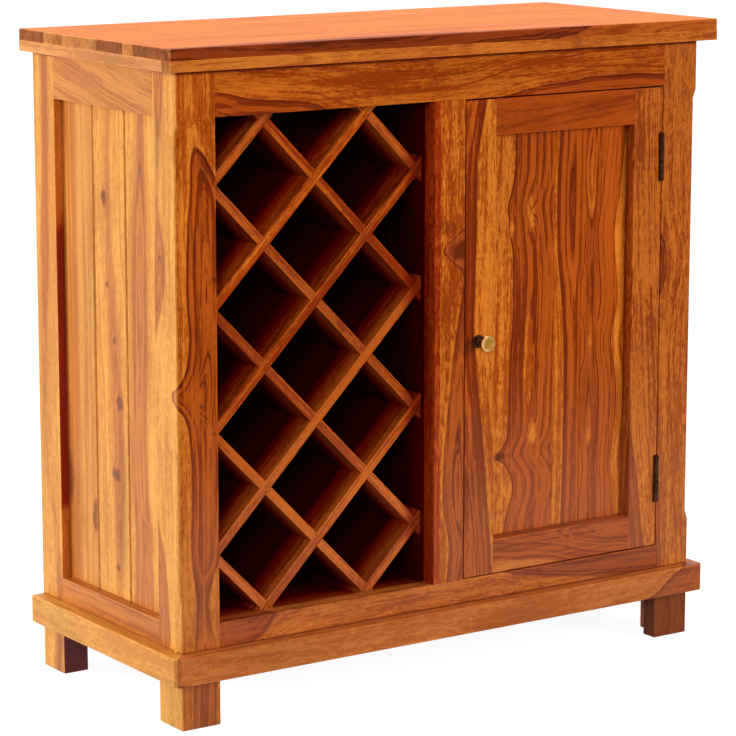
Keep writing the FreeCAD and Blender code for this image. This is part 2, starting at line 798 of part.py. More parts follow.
def cabinet():
    """Every piece of the cabinet by name."""
    pieces = top_pieces()
    pieces.update(side_frames())
    pieces.update(front_frame())
    pieces.update(base_mouldings())
    pieces.update(back_frame())
    pieces.update(carcass_boards())
    shelf, pegs, peg_holes = shelf_pieces()
    pieces["shelf"] = shelf
    pieces["shelf_pegs"] = Part.makeCompound(pegs)
    for name in ("partition", "side_stile_right", "back_post_right"):
        pieces[name] = pieces[name].cut(peg_holes)
    pieces.update(rack_boards())
    pieces.update(door_pieces())
    pieces.update(hinges(pieces))
    pieces.update(knob_pieces(pieces))
    pieces.update(catch_pieces())
    return pieces


os.makedirs("parts", exist_ok=True)
model = cabinet()
for node, shape in model.items():
    print("%-24s solids %2d  valid %s  %10.1f" % (node, len(shape.Solids), shape.isValid(), shape.Volume))
    shape.exportStep("parts/%s.step" % node)
print("nodes", len(model), " front", round(front, 2), " hinge axis", round(hinge_axis_x, 3), hinge_axis_y)
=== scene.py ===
# %% [markdown]
# # A bar cabinet of Indian rosewood
#
# This lesson dresses a finished CAD model of a bar cabinet: a diamond wine rack on the left, a
# cupboard with a framed door on the right, a base moulding and a thick top. The CAD boards already
# have the right shape and place, so most of the work is the wood. Only the small turned and pressed
# metal pieces are made anew, because their round edges need more faces than the CAD model has.
#
# We start by loading the CAD model as a fixed frame.

# %% Load the frame
import bpy
import bmesh
import math
import random
from functools import reduce
from mathutils import Matrix, Vector


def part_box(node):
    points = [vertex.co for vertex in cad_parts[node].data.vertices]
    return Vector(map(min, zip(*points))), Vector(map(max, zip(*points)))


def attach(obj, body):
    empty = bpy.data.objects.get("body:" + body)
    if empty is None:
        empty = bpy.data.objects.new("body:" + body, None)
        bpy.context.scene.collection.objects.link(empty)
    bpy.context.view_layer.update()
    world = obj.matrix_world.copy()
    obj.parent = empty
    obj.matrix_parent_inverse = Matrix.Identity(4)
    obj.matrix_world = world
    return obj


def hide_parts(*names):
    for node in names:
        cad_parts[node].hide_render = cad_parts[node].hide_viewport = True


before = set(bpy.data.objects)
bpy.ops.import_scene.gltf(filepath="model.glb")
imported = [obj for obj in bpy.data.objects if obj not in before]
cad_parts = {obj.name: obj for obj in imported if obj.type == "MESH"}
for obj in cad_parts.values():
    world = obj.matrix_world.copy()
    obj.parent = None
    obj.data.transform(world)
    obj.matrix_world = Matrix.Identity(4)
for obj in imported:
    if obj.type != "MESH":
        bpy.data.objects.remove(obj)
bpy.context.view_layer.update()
scene = bpy.context.scene
MM = 0.001
LOW, MIDDLE, HIGH = 0.0, 0.5, 1.0


def spot_of(node, axis, share):
    """Where a CAD piece starts, has its middle or ends on one axis, in millimetres."""
    low, high = (corner["xyz".index(axis)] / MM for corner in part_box(node))
    return round(low + (high - low) * share, 3)


# %% [markdown]
# ## Writing node trees in Python
#
# A material that looks like wood needs a hundred nodes. Adding each by hand takes four lines, so we
# write a small helper first: it adds a node, sets its options and joins its inputs in one call. A
# Wire is one output of a node. Each arithmetic sign between wires adds the Math node that it stands
# for, so a formula such as a distance can be written down as it is.

# %% A helper for node trees
class Wire:
    """One output of a node; + - * / > < and abs() add the Math nodes that they stand for."""

    def __init__(self, tree, socket):
        self.tree, self.socket = tree, socket

    def __abs__(self):
        return self.tree.math("ABSOLUTE", self)


SIGNS = {"add": "ADD", "sub": "SUBTRACT", "mul": "MULTIPLY", "truediv": "DIVIDE",
         "gt": "GREATER_THAN", "lt": "LESS_THAN"}
for sign, operation in SIGNS.items():
    setattr(Wire, f"__{sign}__", lambda a, b, name=operation: a.tree.math(name, a, b))
    setattr(Wire, f"__r{sign}__", lambda a, b, name=operation: a.tree.math(name, b, a))


class Tree:
    """Adds nodes to a node tree; an input may be a number, a vector, a colour or a wire."""

    def __init__(self, tree):
        self.tree = tree

    def add(self, kind, inputs=(), **settings):
        node = self.tree.nodes.new(kind)
        for key, value in settings.items():
            setattr(node, key, value)
        for key, value in dict(inputs).items():
            self.feed(node.inputs[key], value)
        return node

    def feed(self, socket, value):
        if isinstance(value, Wire):
            self.tree.links.new(value.socket, socket)
        else:
            socket.default_value = value

    def wire(self, kind, inputs=(), output=0, **settings):
        """Adds a node and gives one of its outputs."""
        return Wire(self, self.add(kind, inputs, **settings).outputs[output])

    def wires(self, kind, inputs=(), **settings):
        """Adds a node and gives all its outputs by name."""
        return {out.name: Wire(self, out) for out in self.add(kind, inputs, **settings).outputs}

    def math(self, operation, *values):
        return self.wire("ShaderNodeMath", dict(enumerate(values)), operation=operation)

    def vector(self, operation, *values, output=0):
        return self.wire("ShaderNodeVectorMath", dict(enumerate(values)), output, operation=operation)

    def largest(self, *values):
        return reduce(lambda a, b: self.math("MAXIMUM", a, b), values)

    def smallest(self, *values):
        return reduce(lambda a, b: self.math("MINIMUM", a, b), values)

    def split(self, value):
        return list(self.wires("ShaderNodeSeparateXYZ", {0: value}).values())

    def swing(self, value, factor, start=0.0):
        """A noise of 0 to 1 turned to a swing round nothing: (value - 0.5) * factor + start"""
        return self.math("MULTIPLY_ADD", value - 0.5, factor, start)

    def mix(self, share, a, b, blend="MIX"):
        return self.wire("ShaderNodeMix", {0: share, 6: a, 7: b}, 2, data_type="RGBA", blend_type=blend)

    def fade(self, value, low, high, start=0.0, end=1.0):
        inputs = {"Value": value, "From Min": low, "From Max": high, "To Min": start, "To Max": end}
        return self.wire("ShaderNodeMapRange", inputs, interpolation_type="SMOOTHSTEP")

    def noise(self, place, stretch, detail=2.0, roughness=0.5, shift=(0.0, 0.0, 0.0), swirl=0.0,
              output=0):
        """Noise whose grains are 1/stretch long on each axis; shift moves it to another place."""
        spot = self.vector("MULTIPLY_ADD", place, stretch, shift)
        return self.wire("ShaderNodeTexNoise", {"Vector": spot, "Scale": 1.0, "Detail": detail,
                                                "Roughness": roughness, "Distortion": swirl}, output)

    def noises(self, place, stretch, detail, roughness, shift):
        """Three noises at once that don't follow each other"""
        return self.split(self.noise(place, stretch, detail, roughness, shift, output="Color"))

    def lines(self, value, scale, roughness):
        """Noise along one line, for stripes"""
        inputs = {"W": value, "Scale": scale, "Detail": 3.0, "Roughness": roughness}
        return self.wire("ShaderNodeTexNoise", inputs, noise_dimensions="1D")


def fresh(collection, name):
    """A new material or world, and its tree without any nodes."""
    owner = collection.new(name)
    owner.use_nodes = True
    owner.node_tree.nodes.clear()
    return owner, Tree(owner.node_tree)


def placed(name, data):
    """A new object at the origin of the scene."""
    thing = bpy.data.objects.new(name, data)
    scene.collection.objects.link(thing)
    return thing


def colour(red, green, blue):
    """A colour given as on the screen, 0 to 255, as the linear values that Blender mixes."""
    def linear(c):
        c = c / 255.0
        return c / 12.92 if c <= 0.04045 else ((c + 0.055) / 1.055) ** 2.4
    return linear(red), linear(green), linear(blue), 1.0


print("signs that a wire knows:", ", ".join(SIGNS))

# %% [markdown]
# ## The figure of the wood
#
# Indian rosewood has two parts: pale golden sapwood outside and red-brown heartwood inside, with a
# sharp, wavy edge between them. The heartwood has dark stripes, the yearly layers, and a board cut
# along the trunk shows them as long lines and nested arches. Plain noise can't do that. So every
# board gets a "heart": the left and right edge of its heartwood along its length. The distance to
# that heart decides everything else: inside it is heartwood, outside it is sapwood, and the stripes
# are lines of equal distance. Where the two edges meet, the stripes close to an arch by themselves.
# Depth counts in the distance too, so the ends and edges of a board match its face.
#
# All lengths in the node group are millimetres.

# %% The inputs of the node group
NUMBERS = {"Left": -60.0, "Right": -80.0, "Depth": 12.0, "Spacing": 3.6, "Wander": 4.0,
           "Stripes": 1.0, "Blur": 0.8, "Outline": 0.5, "Rim": 1.7, "Band": 10.0, "Tilt": 0.0,
           "Knot": 0.0, "Window": 0.0, "Bulge": 0.0, "Groove": 0.0, "Corner shade": 99.0, "Dark": 1.0,
           "Mottle": 1.0, "Seed": 0.0}
TONES = ("Sap light", "Sap dark", "Heart light", "Heart dark", "Line")
SEED_SHIFT = (13.1, 7.7, 3.3)  # how far each whole seed moves the noises


class Wood(Tree):
    """The tree of the rosewood group, with its inputs and with noises that lie along the grain."""

    def __init__(self, tree):
        super().__init__(tree)
        self.given = self.wires("NodeGroupInput")
        self.shift = self.vector("MULTIPLY", self.given["Seed"], SEED_SHIFT)
        self.place = self.wire("ShaderNodeVectorRotate", {
            "Vector": self.given["Place"], "Angle": self.given["Tilt"]}, rotation_type="Y_AXIS")

    def grain(self, stretch, detail, roughness, swirl=0.0):
        return self.noise(self.place, stretch, detail, roughness, self.shift, swirl)

    def grains(self, stretch, detail, roughness):
        return self.noises(self.place, stretch, detail, roughness, self.shift)


def distance_to_heart(t):
    """How far a point lies outside the heart; also the quick wander, which others use too."""
    given, wander, core = t.given, t.given["Wander"], t.given["Depth"]
    # the grain wanders: slowly over a hand's breadth and quickly over a finger's breadth
    slow = t.grains((0.007, 0.02, 0.0042), 2.0, 0.5)
    quick = t.grains((0.03, 0.06, 0.011), 2.0, 0.55)
    sway = t.swing(slow[0], 3.2, quick[0] - 0.5)
    swell = t.swing(slow[1], 1.6, quick[1] - 0.5)
    across, depth, _ = t.split(t.place)
    centre = (given["Left"] + given["Right"]) * 0.5
    half = (given["Right"] - given["Left"]) * 0.5
    side = sway * wander + (across - centre)
    back = depth + core
    # the heart's radius is larger than its half width, because its centre lies deeper
    radius = t.math("SQRT", side * side + back * back)
    reach = t.math("SQRT", t.largest(half * abs(half) + core * core, 0.0))
    return swell * wander + (radius - reach) - given["Bulge"], quick


print("inputs of a board:", len(NUMBERS), "numbers and", len(TONES), "tones")

# %% [markdown]
# ## Yearly layers, fibres and pores
#
# A tree adds a layer each year, and none is as thick as the one before. We get that from a noise
# along one line: the distance to the heart, divided by the usual spacing. Across the layers run
# much finer things: long fibres, dark pores, and a ripple where the grain weaves.

# %% Layers and fibres
def layers(t, outside):
    """The tone of the layers, the fine ones alone, a streak along the grain, and slow drifts."""
    given = t.given
    torn = t.swing(t.grain((0.22, 0.22, 0.012), 2.0, 0.6), 0.8) * given["Wander"] + outside
    layer = given["Seed"] * 7.3 + torn / given["Spacing"]
    broad = t.lines(layer, 0.5, 0.6)
    fine = t.lines(layer, 2.7, 0.7)
    drift = t.grains((0.014, 0.02, 0.004), 1.0, 0.5)
    streak = t.grain((0.17, 0.12, 0.0035), 3.0, 0.6)
    strength = given["Stripes"] * t.swing(drift[1], 1.8, 0.9)
    tone = t.swing(streak, 0.9, t.swing(fine, 0.6, broad))
    thin = t.fade(fine, 0.41, 0.29) * t.smallest(strength, 1.2)
    return (tone - 0.5) * strength + 0.5, thin, streak, drift


def fibres(t):
    """Fibre, pore, fleck and cloud as they are; speckle and mottle as swings round nothing."""
    fibre = t.grain((1.5, 1.5, 0.03), 3.0, 0.6)
    pore = t.fade(t.grain((3.0, 3.0, 0.16), 1.0, 0.5), 0.58, 0.70)
    fleck = t.grain((0.45, 0.45, 0.06), 3.0, 0.72, swirl=0.8)
    ripple = t.grain((0.07, 0.07, 0.05), 2.0, 0.6, swirl=1.6)
    cloud = t.grain((0.06, 0.06, 0.0065), 3.0, 0.6)
    much = t.given["Mottle"]
    return fibre, pore, fleck, cloud, (fleck - 0.5) * much, (ripple - 0.5) * much


print("layers and fibres are ready")

# %% [markdown]
# ## Worn edges, dust and painted shade
#
# The edges of a board are a little lighter: partly wear, because sanding takes a little more from the
# arrises than from the faces, and partly a painted highlight. Dust stays in V-grooves, and a painted
# shade darkens the corners where boards meet. All three come from distances: to the faces of the
# board, to the groove, and to the next board.

# %% Worn edges, dust and painted shade
def edges_dust_and_shade(t, quick, fleck):
    """Worn edges with a painted highlight, end grain, dust, and painted shade in the corners."""
    given = t.given
    room = t.vector("ABSOLUTE", t.vector("SUBTRACT", given["Place"], given["Middle"]))
    room = t.split(t.vector("SUBTRACT", given["Half size"], room))
    # the second smallest distance to the faces is small only along an edge
    edge = t.largest(t.smallest(room[0], room[1]),
                     t.smallest(t.largest(room[0], room[1]), room[2]))
    # lighter edges: partly wear, partly a painted highlight on the arrises
    wear_and_highlight = t.fade(t.swing(quick[1], 2.0, edge), 2.2, 0.4)
    ends = t.fade(room[2], 0.7, 0.2)
    dust = t.fade(t.swing(fleck, 4.0, room[0] / t.largest(given["Groove"], 0.01)), 3.2, 0.8)
    dust = dust * t.smallest(given["Groove"], 0.85)
    # painted shade along the lines where boards meet
    corner = t.fade(t.swing(fleck, 3.0, given["Corner shade"]), 3.6, 0.6, 0.0, 0.9)
    return wear_and_highlight, ends, dust, corner


print("wear, highlight, dust and shade are ready")

# %% [markdown]
# ## From distances to colours
#
# Now the parts meet in one node group. Heartwood and sapwood are mixed apart from each other, each
# between its own light and dark tone, and the distance to the heart chooses between them. Shade is
# painted in too: wood in deep shade is lit by other wood, so the painted shade takes green and blue
# away faster than red.

# %% The node group for rosewood
SHADE_POWERS = (0.6, 2.0, 2.4)  # how fast red, green and blue go in the shade


def rosewood_group():
    tree = bpy.data.node_groups.new("rosewood figure", "ShaderNodeTree")
    for names, kind, way in ((("Place", "Middle", "Half size"), "Vector", "INPUT"),
                             (NUMBERS, "Float", "INPUT"), (TONES, "Color", "INPUT"),
                             (("Colour",), "Color", "OUTPUT"),
                             (("Roughness", "Height"), "Float", "OUTPUT")):
        for name in names:
            tree.interface.new_socket(name=name, in_out=way, socket_type="NodeSocket" + kind)
    t = Wood(tree)
    given, line = t.given, t.given["Line"]
    outside, quick = distance_to_heart(t)
    tone, thin, streak, drift = layers(t, outside)
    fibre, pore, fleck, cloud, speckle, mottle = fibres(t)
    wear_and_highlight, ends, dust, corner = edges_dust_and_shade(t, quick, fleck)

    # heartwood, darker in a band along its edge
    band = t.fade(outside / given["Band"], -1.0, -0.1, 0.05, -0.17)
    heart_share = t.fade(speckle * 0.35 + t.swing(cloud, 0.4, tone + band), 0.36, 0.62)
    heart = t.mix(heart_share, given["Heart dark"], given["Heart light"])
    heart = t.mix(thin * 0.6, heart, line)

    # sapwood, and windows of it in the heartwood
    sap_share = mottle * 0.9 + (speckle * 2.4 + 0.5)
    sap_share = t.swing(cloud, 1.8, t.swing(drift[0], 1.6, t.swing(tone, 2.0, sap_share)))
    sap = t.mix(t.fade(sap_share, 0.0, 1.0), given["Sap dark"], given["Sap light"])
    sap = t.mix(thin * 0.3, sap, given["Heart dark"])
    inside = t.fade(outside / given["Blur"], 1.0, -1.0) * t.fade(given["Window"], 0.6, 0.35)
    wood = t.mix(inside, sap, heart)

    # the dark outline of the heart, knots, dust, and painted shade where boards meet
    rim = t.fade(abs(outside + t.swing(quick[2], 4.0, 1.4)), given["Rim"], 0.3)
    rim = rim * t.fade(streak, 0.66, 0.4, 0.35, 1.0)
    wood = t.mix(rim * given["Outline"], wood, line)
    wood = t.mix(t.fade(given["Knot"], 0.45, 0.8) * 0.85, wood, line)
    wood = t.mix(t.largest(dust, corner), wood, given["Heart dark"])

    shade = t.swing(fibre, 0.5, 1.0) + speckle * 0.2 + mottle * 0.26
    shade = t.swing(drift[2], 0.5, t.swing(cloud, 0.25, shade)) - thin * 0.12 - pore * 0.16
    # painted shade darkens where boards meet; the painted highlight on the edges lightens
    shade = shade - corner * 0.3 - ends * 0.38 + wear_and_highlight * 0.14
    # painted shade: the Dark input darkens the colour, taking green and blue faster than red
    deep = t.wire("ShaderNodeCombineXYZ", {n: t.math("POWER", given["Dark"], power)
                                           for n, power in enumerate(SHADE_POWERS)})
    t.add("NodeGroupOutput", {
        "Colour": t.mix(1.0, wood, t.vector("MULTIPLY", deep, shade), "MULTIPLY"),
        "Roughness": t.swing(fibre, 0.18, 0.42) + pore * 0.12 - wear_and_highlight * 0.06,
        "Height": fibre * 0.8 - pore + tone * 0.35})
    return tree


rosewood = rosewood_group()
print("rosewood group:", len(rosewood.nodes), "nodes")

# %% [markdown]
# ## Directions and tones
#
# Each board is seen from one side and its grain runs one way. The tones come from looking closely at
# the photograph: a palette has two tones of sapwood, two of heartwood and the dark line between
# them. GLOSS says how much each palette shines. The palettes in FLOOR_SHEEN_PALETTES turn toward
# "floor sheen" near the floor: a painted reflection of the white floor, paler and less red.

# %% Directions, palettes and gloss
INTO = {"front": Vector((0, 1, 0)), "back": Vector((0, -1, 0)), "left": Vector((1, 0, 0)),
        "right": Vector((-1, 0, 0)), "top": Vector((0, 0, -1))}
GRAIN = {"x": Vector((1, 0, 0)), "y": Vector((0, 1, 0)), "z": Vector((0, 0, 1))}
PALETTES = {
    # sap light, sap dark, heart light, heart dark, dark line
    "front": [(214, 120, 36), (166, 68, 8), (180, 80, 18), (120, 40, 3), (80, 23, 2)],
    "brown": [(190, 100, 30), (144, 58, 9), (150, 64, 16), (106, 37, 6), (78, 25, 3)],
    "deep": [(192, 98, 24), (146, 55, 5), (166, 70, 14), (118, 39, 4), (78, 23, 2)],
    "divider": [(206, 112, 32), (152, 58, 6), (178, 82, 24), (130, 50, 12), (80, 23, 2)],
    # painted reflection of the white floor, mixed in toward the floor
    "floor sheen": [(208, 122, 50), (172, 88, 32), (176, 90, 40), (148, 72, 32), (114, 50, 20)],
    "foot": [(146, 80, 42), (124, 64, 30), (130, 66, 33), (112, 54, 26), (84, 38, 16)],
    "bottom rail": [(190, 104, 40), (150, 68, 20), (156, 72, 26), (116, 46, 14), (84, 30, 8)],
    # paler and less red than "front": in part a painted reflection of the white floor
    "moulding": [(194, 110, 48), (172, 86, 30), (168, 82, 32), (134, 58, 22), (96, 36, 12)],
    "side": [(226, 158, 66), (206, 130, 46), (196, 116, 44), (172, 92, 34), (112, 50, 20)],
    "side rail": [(216, 148, 64), (196, 120, 46), (206, 132, 56), (184, 106, 42), (120, 60, 26)],
    "top": [(214, 116, 28), (196, 94, 18), (160, 66, 14), (112, 40, 7), (76, 26, 4)],
    "top front": [(172, 84, 26), (142, 58, 13), (136, 54, 15), (94, 32, 8), (64, 20, 4)],
    "top end": [(238, 156, 88), (212, 126, 60), (228, 144, 76), (200, 114, 54), (130, 66, 28)],
    "top end dark": [(182, 106, 54), (152, 82, 38), (182, 106, 54), (152, 82, 38), (100, 48, 20)],
    "edging": [(190, 102, 34), (152, 68, 18), (212, 120, 42), (178, 84, 24), (104, 42, 12)],
    "side edging": [(216, 144, 76), (190, 116, 56), (206, 132, 68), (184, 106, 48), (120, 60, 26)],
}
GLOSS = {"front": 0.06, "divider": 0.06, "deep": 0.06, "brown": 0.1, "moulding": 0.24, "side": 0.38,
         "side rail": 0.36, "side edging": 0.36, "top": 0.05, "edging": 0.06, "bottom rail": 0.28}
FLOOR_SHEEN_PALETTES = ("front", "divider", "deep", "brown")
print("palettes:", ", ".join(PALETTES))

# %% [markdown]
# ## Hearts and knots
#
# Two Float Curves draw the left and the right edge of the heartwood along the board. A knot is a
# mound with a torn rim, which pushes the layers aside and darkens the wood in its middle. A knot
# with a power below zero does the opposite: it opens a pale window of sapwood in the heartwood.

# %% Hearts and knots
CURVE_SPAN = 500.0  # the millimetres across that a curve's height of 0 to 1 stands for
KNOT_DEPTH = 5.0
KNOT_RIM = 0.37  # what is left of a knot's mound at its rim


def heart_edge(t, share, points):
    """A smooth line through (share of the length, millimetres across) points."""
    node = t.add("ShaderNodeFloatCurve", {"Value": share})
    node.mapping.use_clip = False
    node.mapping.extend = "HORIZONTAL"
    curve = node.mapping.curves[0]
    for spot, (position, across) in enumerate(points):
        level = 0.5 + across / CURVE_SPAN
        if spot < 2:
            curve.points[spot].location = (position, level)
        else:
            curve.points.new(position, level)
    node.mapping.update()
    return t.swing(Wire(t, node.outputs[0]), CURVE_SPAN)


def knot_fields(t, place, spot, half_size, knots, seed):
    """The knots' darkness, how far they push the layers, and their pale windows.

    A knot is (across, along, half width, half length, power[, push])."""
    x, y, z = spot
    dark, bulge, window = 0.0, 0.0, 0.0
    if knots:
        torn = t.noises(place, (0.055, 0.055, 0.03), 3.0, 0.65, (seed, 3.0, seed))
    for knot_x, knot_z, wide, long, power, *push in knots:
        ragged = 2.0 if power > 1 else 1.1
        dx = t.swing(torn[0], ragged, (x - (knot_x - half_size.x)) / wide)
        dz = t.swing(torn[1], ragged, (z - (knot_z - half_size.z)) / long)
        dy = y / KNOT_DEPTH
        mound = t.math("POWER", KNOT_RIM, dx * dx + (dz * dz + dy * dy))
        bulge = mound * (push[0] if push else abs(power) * (6.0 + wide)) + bulge
        if power > 0:
            dark = t.largest(mound * min(1.0, power), dark)
        else:
            window = t.largest(mound * -power, window)
    return dark, bulge, window


print("a knot reaches", KNOT_DEPTH, "mm into the wood")

# %% [markdown]
# ## Painted shade and faces of another tone
#
# Plain light doesn't make the rack's cells as dark as they are in a room, so boards inside the
# carcase carry a painted shade that grows toward the back. A painted shade also darkens the lines
# where boards meet. The top is glued up from staves, whose sawn ends have tones of their own.

# %% Painted shade and faces
# painted shade: the divider's shadow on the rack's right end
RACK_END = (-62 * MM, -34 * MM)  # the divider takes light from the rack between these x
CUPBOARD_START = -16 * MM


def shade_between(t, place, height, low, high, dark, light):
    """A shade that is dark at the foot and between two heights and light elsewhere, ragged."""
    height = t.swing(t.noise(place, (0.03, 0.03, 0.03)), 60.0, height / MM)
    between = t.fade(height, low - 14, low + 14) * t.fade(height, high + 14, high - 14)
    foot = t.fade(height, 95.0, 50.0) * 1.4
    return t.fade(t.largest(between, foot), 0.0, 1.4, light, dark * 0.3)


# painted shade: a board's colour darkens toward the back of the carcase
def recess_shade(t, node, place, depth, half_size, world, recess):
    """How much light is left on a board inside the carcase.

    recess is (y of the front, y of the back, light at the front, light at the back[, "near" or
    "far": the half of the board's thickness that lies in the shade]). In place of the light at the
    back, four numbers for shade_between may stand."""
    front, end, first, last, *shaded = recess
    if isinstance(last, tuple):
        last = shade_between(t, place, world[2], *last)
    light = t.fade(world[1], front * MM, end * MM, first, last)
    if node.startswith(("rack_board", "rack_corner")):
        light = light * t.fade(world[0], *RACK_END, 1.0, 0.6)
    if shaded:
        light = t.largest(light, depth > half_size.y if shaded[0] == "near" else depth < half_size.y)
    return t.largest(light, world[0] > CUPBOARD_START)


# painted shade: dark lines where boards meet, where shade falls into the corner
def shade_line_distance(t, depth, half_size, world, shade_lines):
    """Millimetres to the nearest line where boards meet, for the seen half of the board."""
    gaps = [abs(world["xyz".index(axis)] - line * MM) for axis, line in shade_lines]
    return (depth > half_size.y) * NUMBERS["Corner shade"] + t.smallest(*gaps) / MM


def face_share(t, node, place, across, world, face, strips):
    """1 on one outer face of the board, only within the strips across it if there are any."""
    low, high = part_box(node)
    if face == "ends":
        behind = (high.x - low.x) / 2 - abs(world[0] - (low.x + high.x) / 2)
    else:
        behind = world[0] - low.x if face == "left" else world[1] - low.y
    share = t.fade(behind / MM, 0.2, 2.8, 1.0, 0.0)
    if strips:
        ragged = t.swing(t.noise(place, (0.05, 0.3, 0.0)), 9.0, across)
        share = share * t.largest(*((ragged > start) * (ragged < stop) for start, stop in strips))
    return share


print("no shade from x =", CUPBOARD_START, "m on, where the cupboard starts")

# %% [markdown]
# ## One board, one material
#
# No two boards of a real cabinet match, so each has its own material on the shared node group. The
# pattern must lie along the board: a Mapping node moves the origin to the middle of the visible
# face and turns the axes, so that x runs across the grain, y goes into the wood and z follows the
# grain. It also turns metres into millimetres, which are handier for wood.

# %% The axes of a board
def board_axes(into, along):
    """The turn from a board's own axes (across, into the wood, along the grain) to the world's."""
    return Matrix((into.cross(along), into, along)).transposed()


def board_place(t, node, into, grains):
    """Points in metres, points in the board's own millimetres, and half the board's size.

    A node with corner pieces has two grains: one for the upper right and lower left quarter, one
    for the others."""
    turns = [board_axes(into, along) for along in grains]
    corners = [turns[0].transposed() @ v.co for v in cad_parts[node].data.vertices]
    low = Vector([min(c[i] for c in corners) for i in range(3)]) / MM
    high = Vector([max(c[i] for c in corners) for i in range(3)]) / MM
    middle = (high + low) / 2
    face = turns[0] @ Vector((middle.x, low.y, middle.z)) * MM
    point = t.wire("ShaderNodeTexCoord", output="Object")
    world = t.split(point)
    place, *others = [t.wire("ShaderNodeMapping", {
        "Vector": point, "Location": face, "Rotation": turn.to_euler(), "Scale": (MM, MM, MM)},
        vector_type="TEXTURE") for turn in turns]
    if others:
        other_quarter = (world[0] - face[0]) * (world[2] - face[2]) > 0.0
        place = t.wire("ShaderNodeMix", {0: other_quarter, 4: place, 5: others[0]}, 1,
                       data_type="VECTOR")
    return world, place, (high - low) / 2


print("axes of a front board:", [tuple(v) for v in board_axes(INTO["front"], GRAIN["z"])])

# %% [markdown]
# ## What a material is told about its board
#
# Everything that makes a board its own is a word or a number in one call: where its heart and its
# knots lie, which palette it has, whether it stands in the shade. Those numbers feed the shared
# node group, and its colour, roughness and height feed a Principled shader.

# %% The material of a board
FOOT_TOP = (0.062, 0.070)  # the moulding hides the change between these heights


def toward(t, values, share, palette):
    """Mixes all tones toward another palette."""
    for name, rgb in zip(TONES, PALETTES[palette]):
        values[name] = t.mix(share, values[name], colour(*rgb))


def board_material(node, seen="front", grain="z", palette="front", heart=(-60, -80), knots=(),
                   seed=0.0, recess=None, staves=(), faces=(), shade_lines=(), second_grain=None, foot="",
                   **numbers):
    """Rosewood for one CAD board; lengths in millimetres.

    heart: (left, right), or a list of (along, left, right) from the board's low and left edge
    staves: places across the board where the next glued stave starts
    faces: (face, palette, strips) for faces of another tone; shade_lines: (axis, place) of its lines of
    painted shade
    second_grain: the grain of the two other quarters of a node with corner pieces
    foot: "pale" for more sapwood and paler tones toward the floor, "dark" for a painted shade below the
    moulding
    numbers: inputs of the node group by name"""
    grains = [GRAIN[grain] if isinstance(grain, str) else grain]
    if second_grain:
        grains.append(second_grain)
    material, t = fresh(bpy.data.materials, "wood " + node)
    world, place, half_size = board_place(t, node, INTO[seen], grains)
    x, y, z = t.split(place)

    values = dict(NUMBERS, **{key.capitalize(): value for key, value in numbers.items()})
    if isinstance(heart, list):
        share = z * (0.5 / half_size.z) + 0.5
        for number, name in ((1, "Left"), (2, "Right")):
            line = [(h[0] / half_size.z / 2, h[number] - half_size.x) for h in heart]
            values[name] = heart_edge(t, share, line)
    else:
        values["Left"], values["Right"] = (edge - half_size.x for edge in heart)
    fields = knot_fields(t, place, (x, y, z), half_size, knots, seed)
    values["Knot"], values["Bulge"], values["Window"] = fields
    for edge in staves:
        seed = (x > edge) * 9.3 + seed
    if recess:
        values["Dark"] = recess_shade(t, node, place, y, half_size, world, recess)
    if shade_lines:
        values["Corner shade"] = shade_line_distance(t, y, half_size, world, shade_lines)
    values.update({"Place": place, "Middle": (0.0, half_size.y, 0.0), "Half size": half_size,
                   "Seed": seed})
    values.update(zip(TONES, (colour(*rgb) for rgb in PALETTES[palette])))

    gloss = GLOSS[palette]
    if foot == "pale":
        values["Outline"] = t.fade(world[2], 0.06, 0.34, 0.35, values["Outline"])
        pale = t.fade(world[2], 0.40, 0.10, 0.0, 0.46) * t.fade(world[2], 0.050, 0.075)
        values["Window"] = t.largest(values["Window"], pale)
        toward(t, values, t.fade(world[2], 0.36, 0.08, 0.0, 0.32), "side")
    # painted reflection of the white floor: paler, less red tones near it; the gloss also rises there
    if palette in FLOOR_SHEEN_PALETTES:
        gloss = t.fade(world[2], 0.15, 0.45, 0.28, gloss)
        toward(t, values, t.fade(world[2], 0.50, 0.16, 0.0, 0.72), "floor sheen")
    # painted shade: the foot below the moulding takes the darker "foot" tones
    if foot == "dark":
        gloss = t.fade(world[2], *FOOT_TOP, 0.08, gloss)
        toward(t, values, t.fade(world[2], *FOOT_TOP, 1.0, 0.0), "foot")
    for name, tones, strips in faces:
        share = face_share(t, node, place, x, world, name, strips)
        toward(t, values, share, tones)
        if tones in GLOSS:
            gloss = t.largest(gloss, share * GLOSS[tones])

    wood = t.wires("ShaderNodeGroup", values, node_tree=rosewood)
    bump = t.wire("ShaderNodeBump", {"Height": wood["Height"], "Strength": 0.35, "Distance": 0.1 * MM})
    shader = t.add("ShaderNodeBsdfPrincipled", {
        "Base Color": wood["Colour"], "Roughness": wood["Roughness"], "Normal": bump, "IOR": 1.5,
        "Specular IOR Level": GLOSS[palette]})
    t.feed(shader.inputs["Specular IOR Level"], gloss)
    t.add("ShaderNodeOutputMaterial", {"Surface": Wire(t, shader.outputs[0])})
    return material


def dress(node, material):
    """Gives a CAD piece one material in place of what it came with."""
    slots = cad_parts[node].data.materials
    slots.clear()
    slots.append(material)


print("board material ready; it paints a floor sheen for the palettes", ", ".join(FLOOR_SHEEN_PALETTES))

# %% [markdown]
# ## The boards of the front
#
# Now the boards of the photographed sides, each with its own heart. The left leg has a heart that
# starts as a pointed arch near the top, with a knot that pinches it half way down. The divider has
# a large dark knot on its right edge. All numbers are millimetres from the board's own lower and
# left corner, as a joiner would mark them.

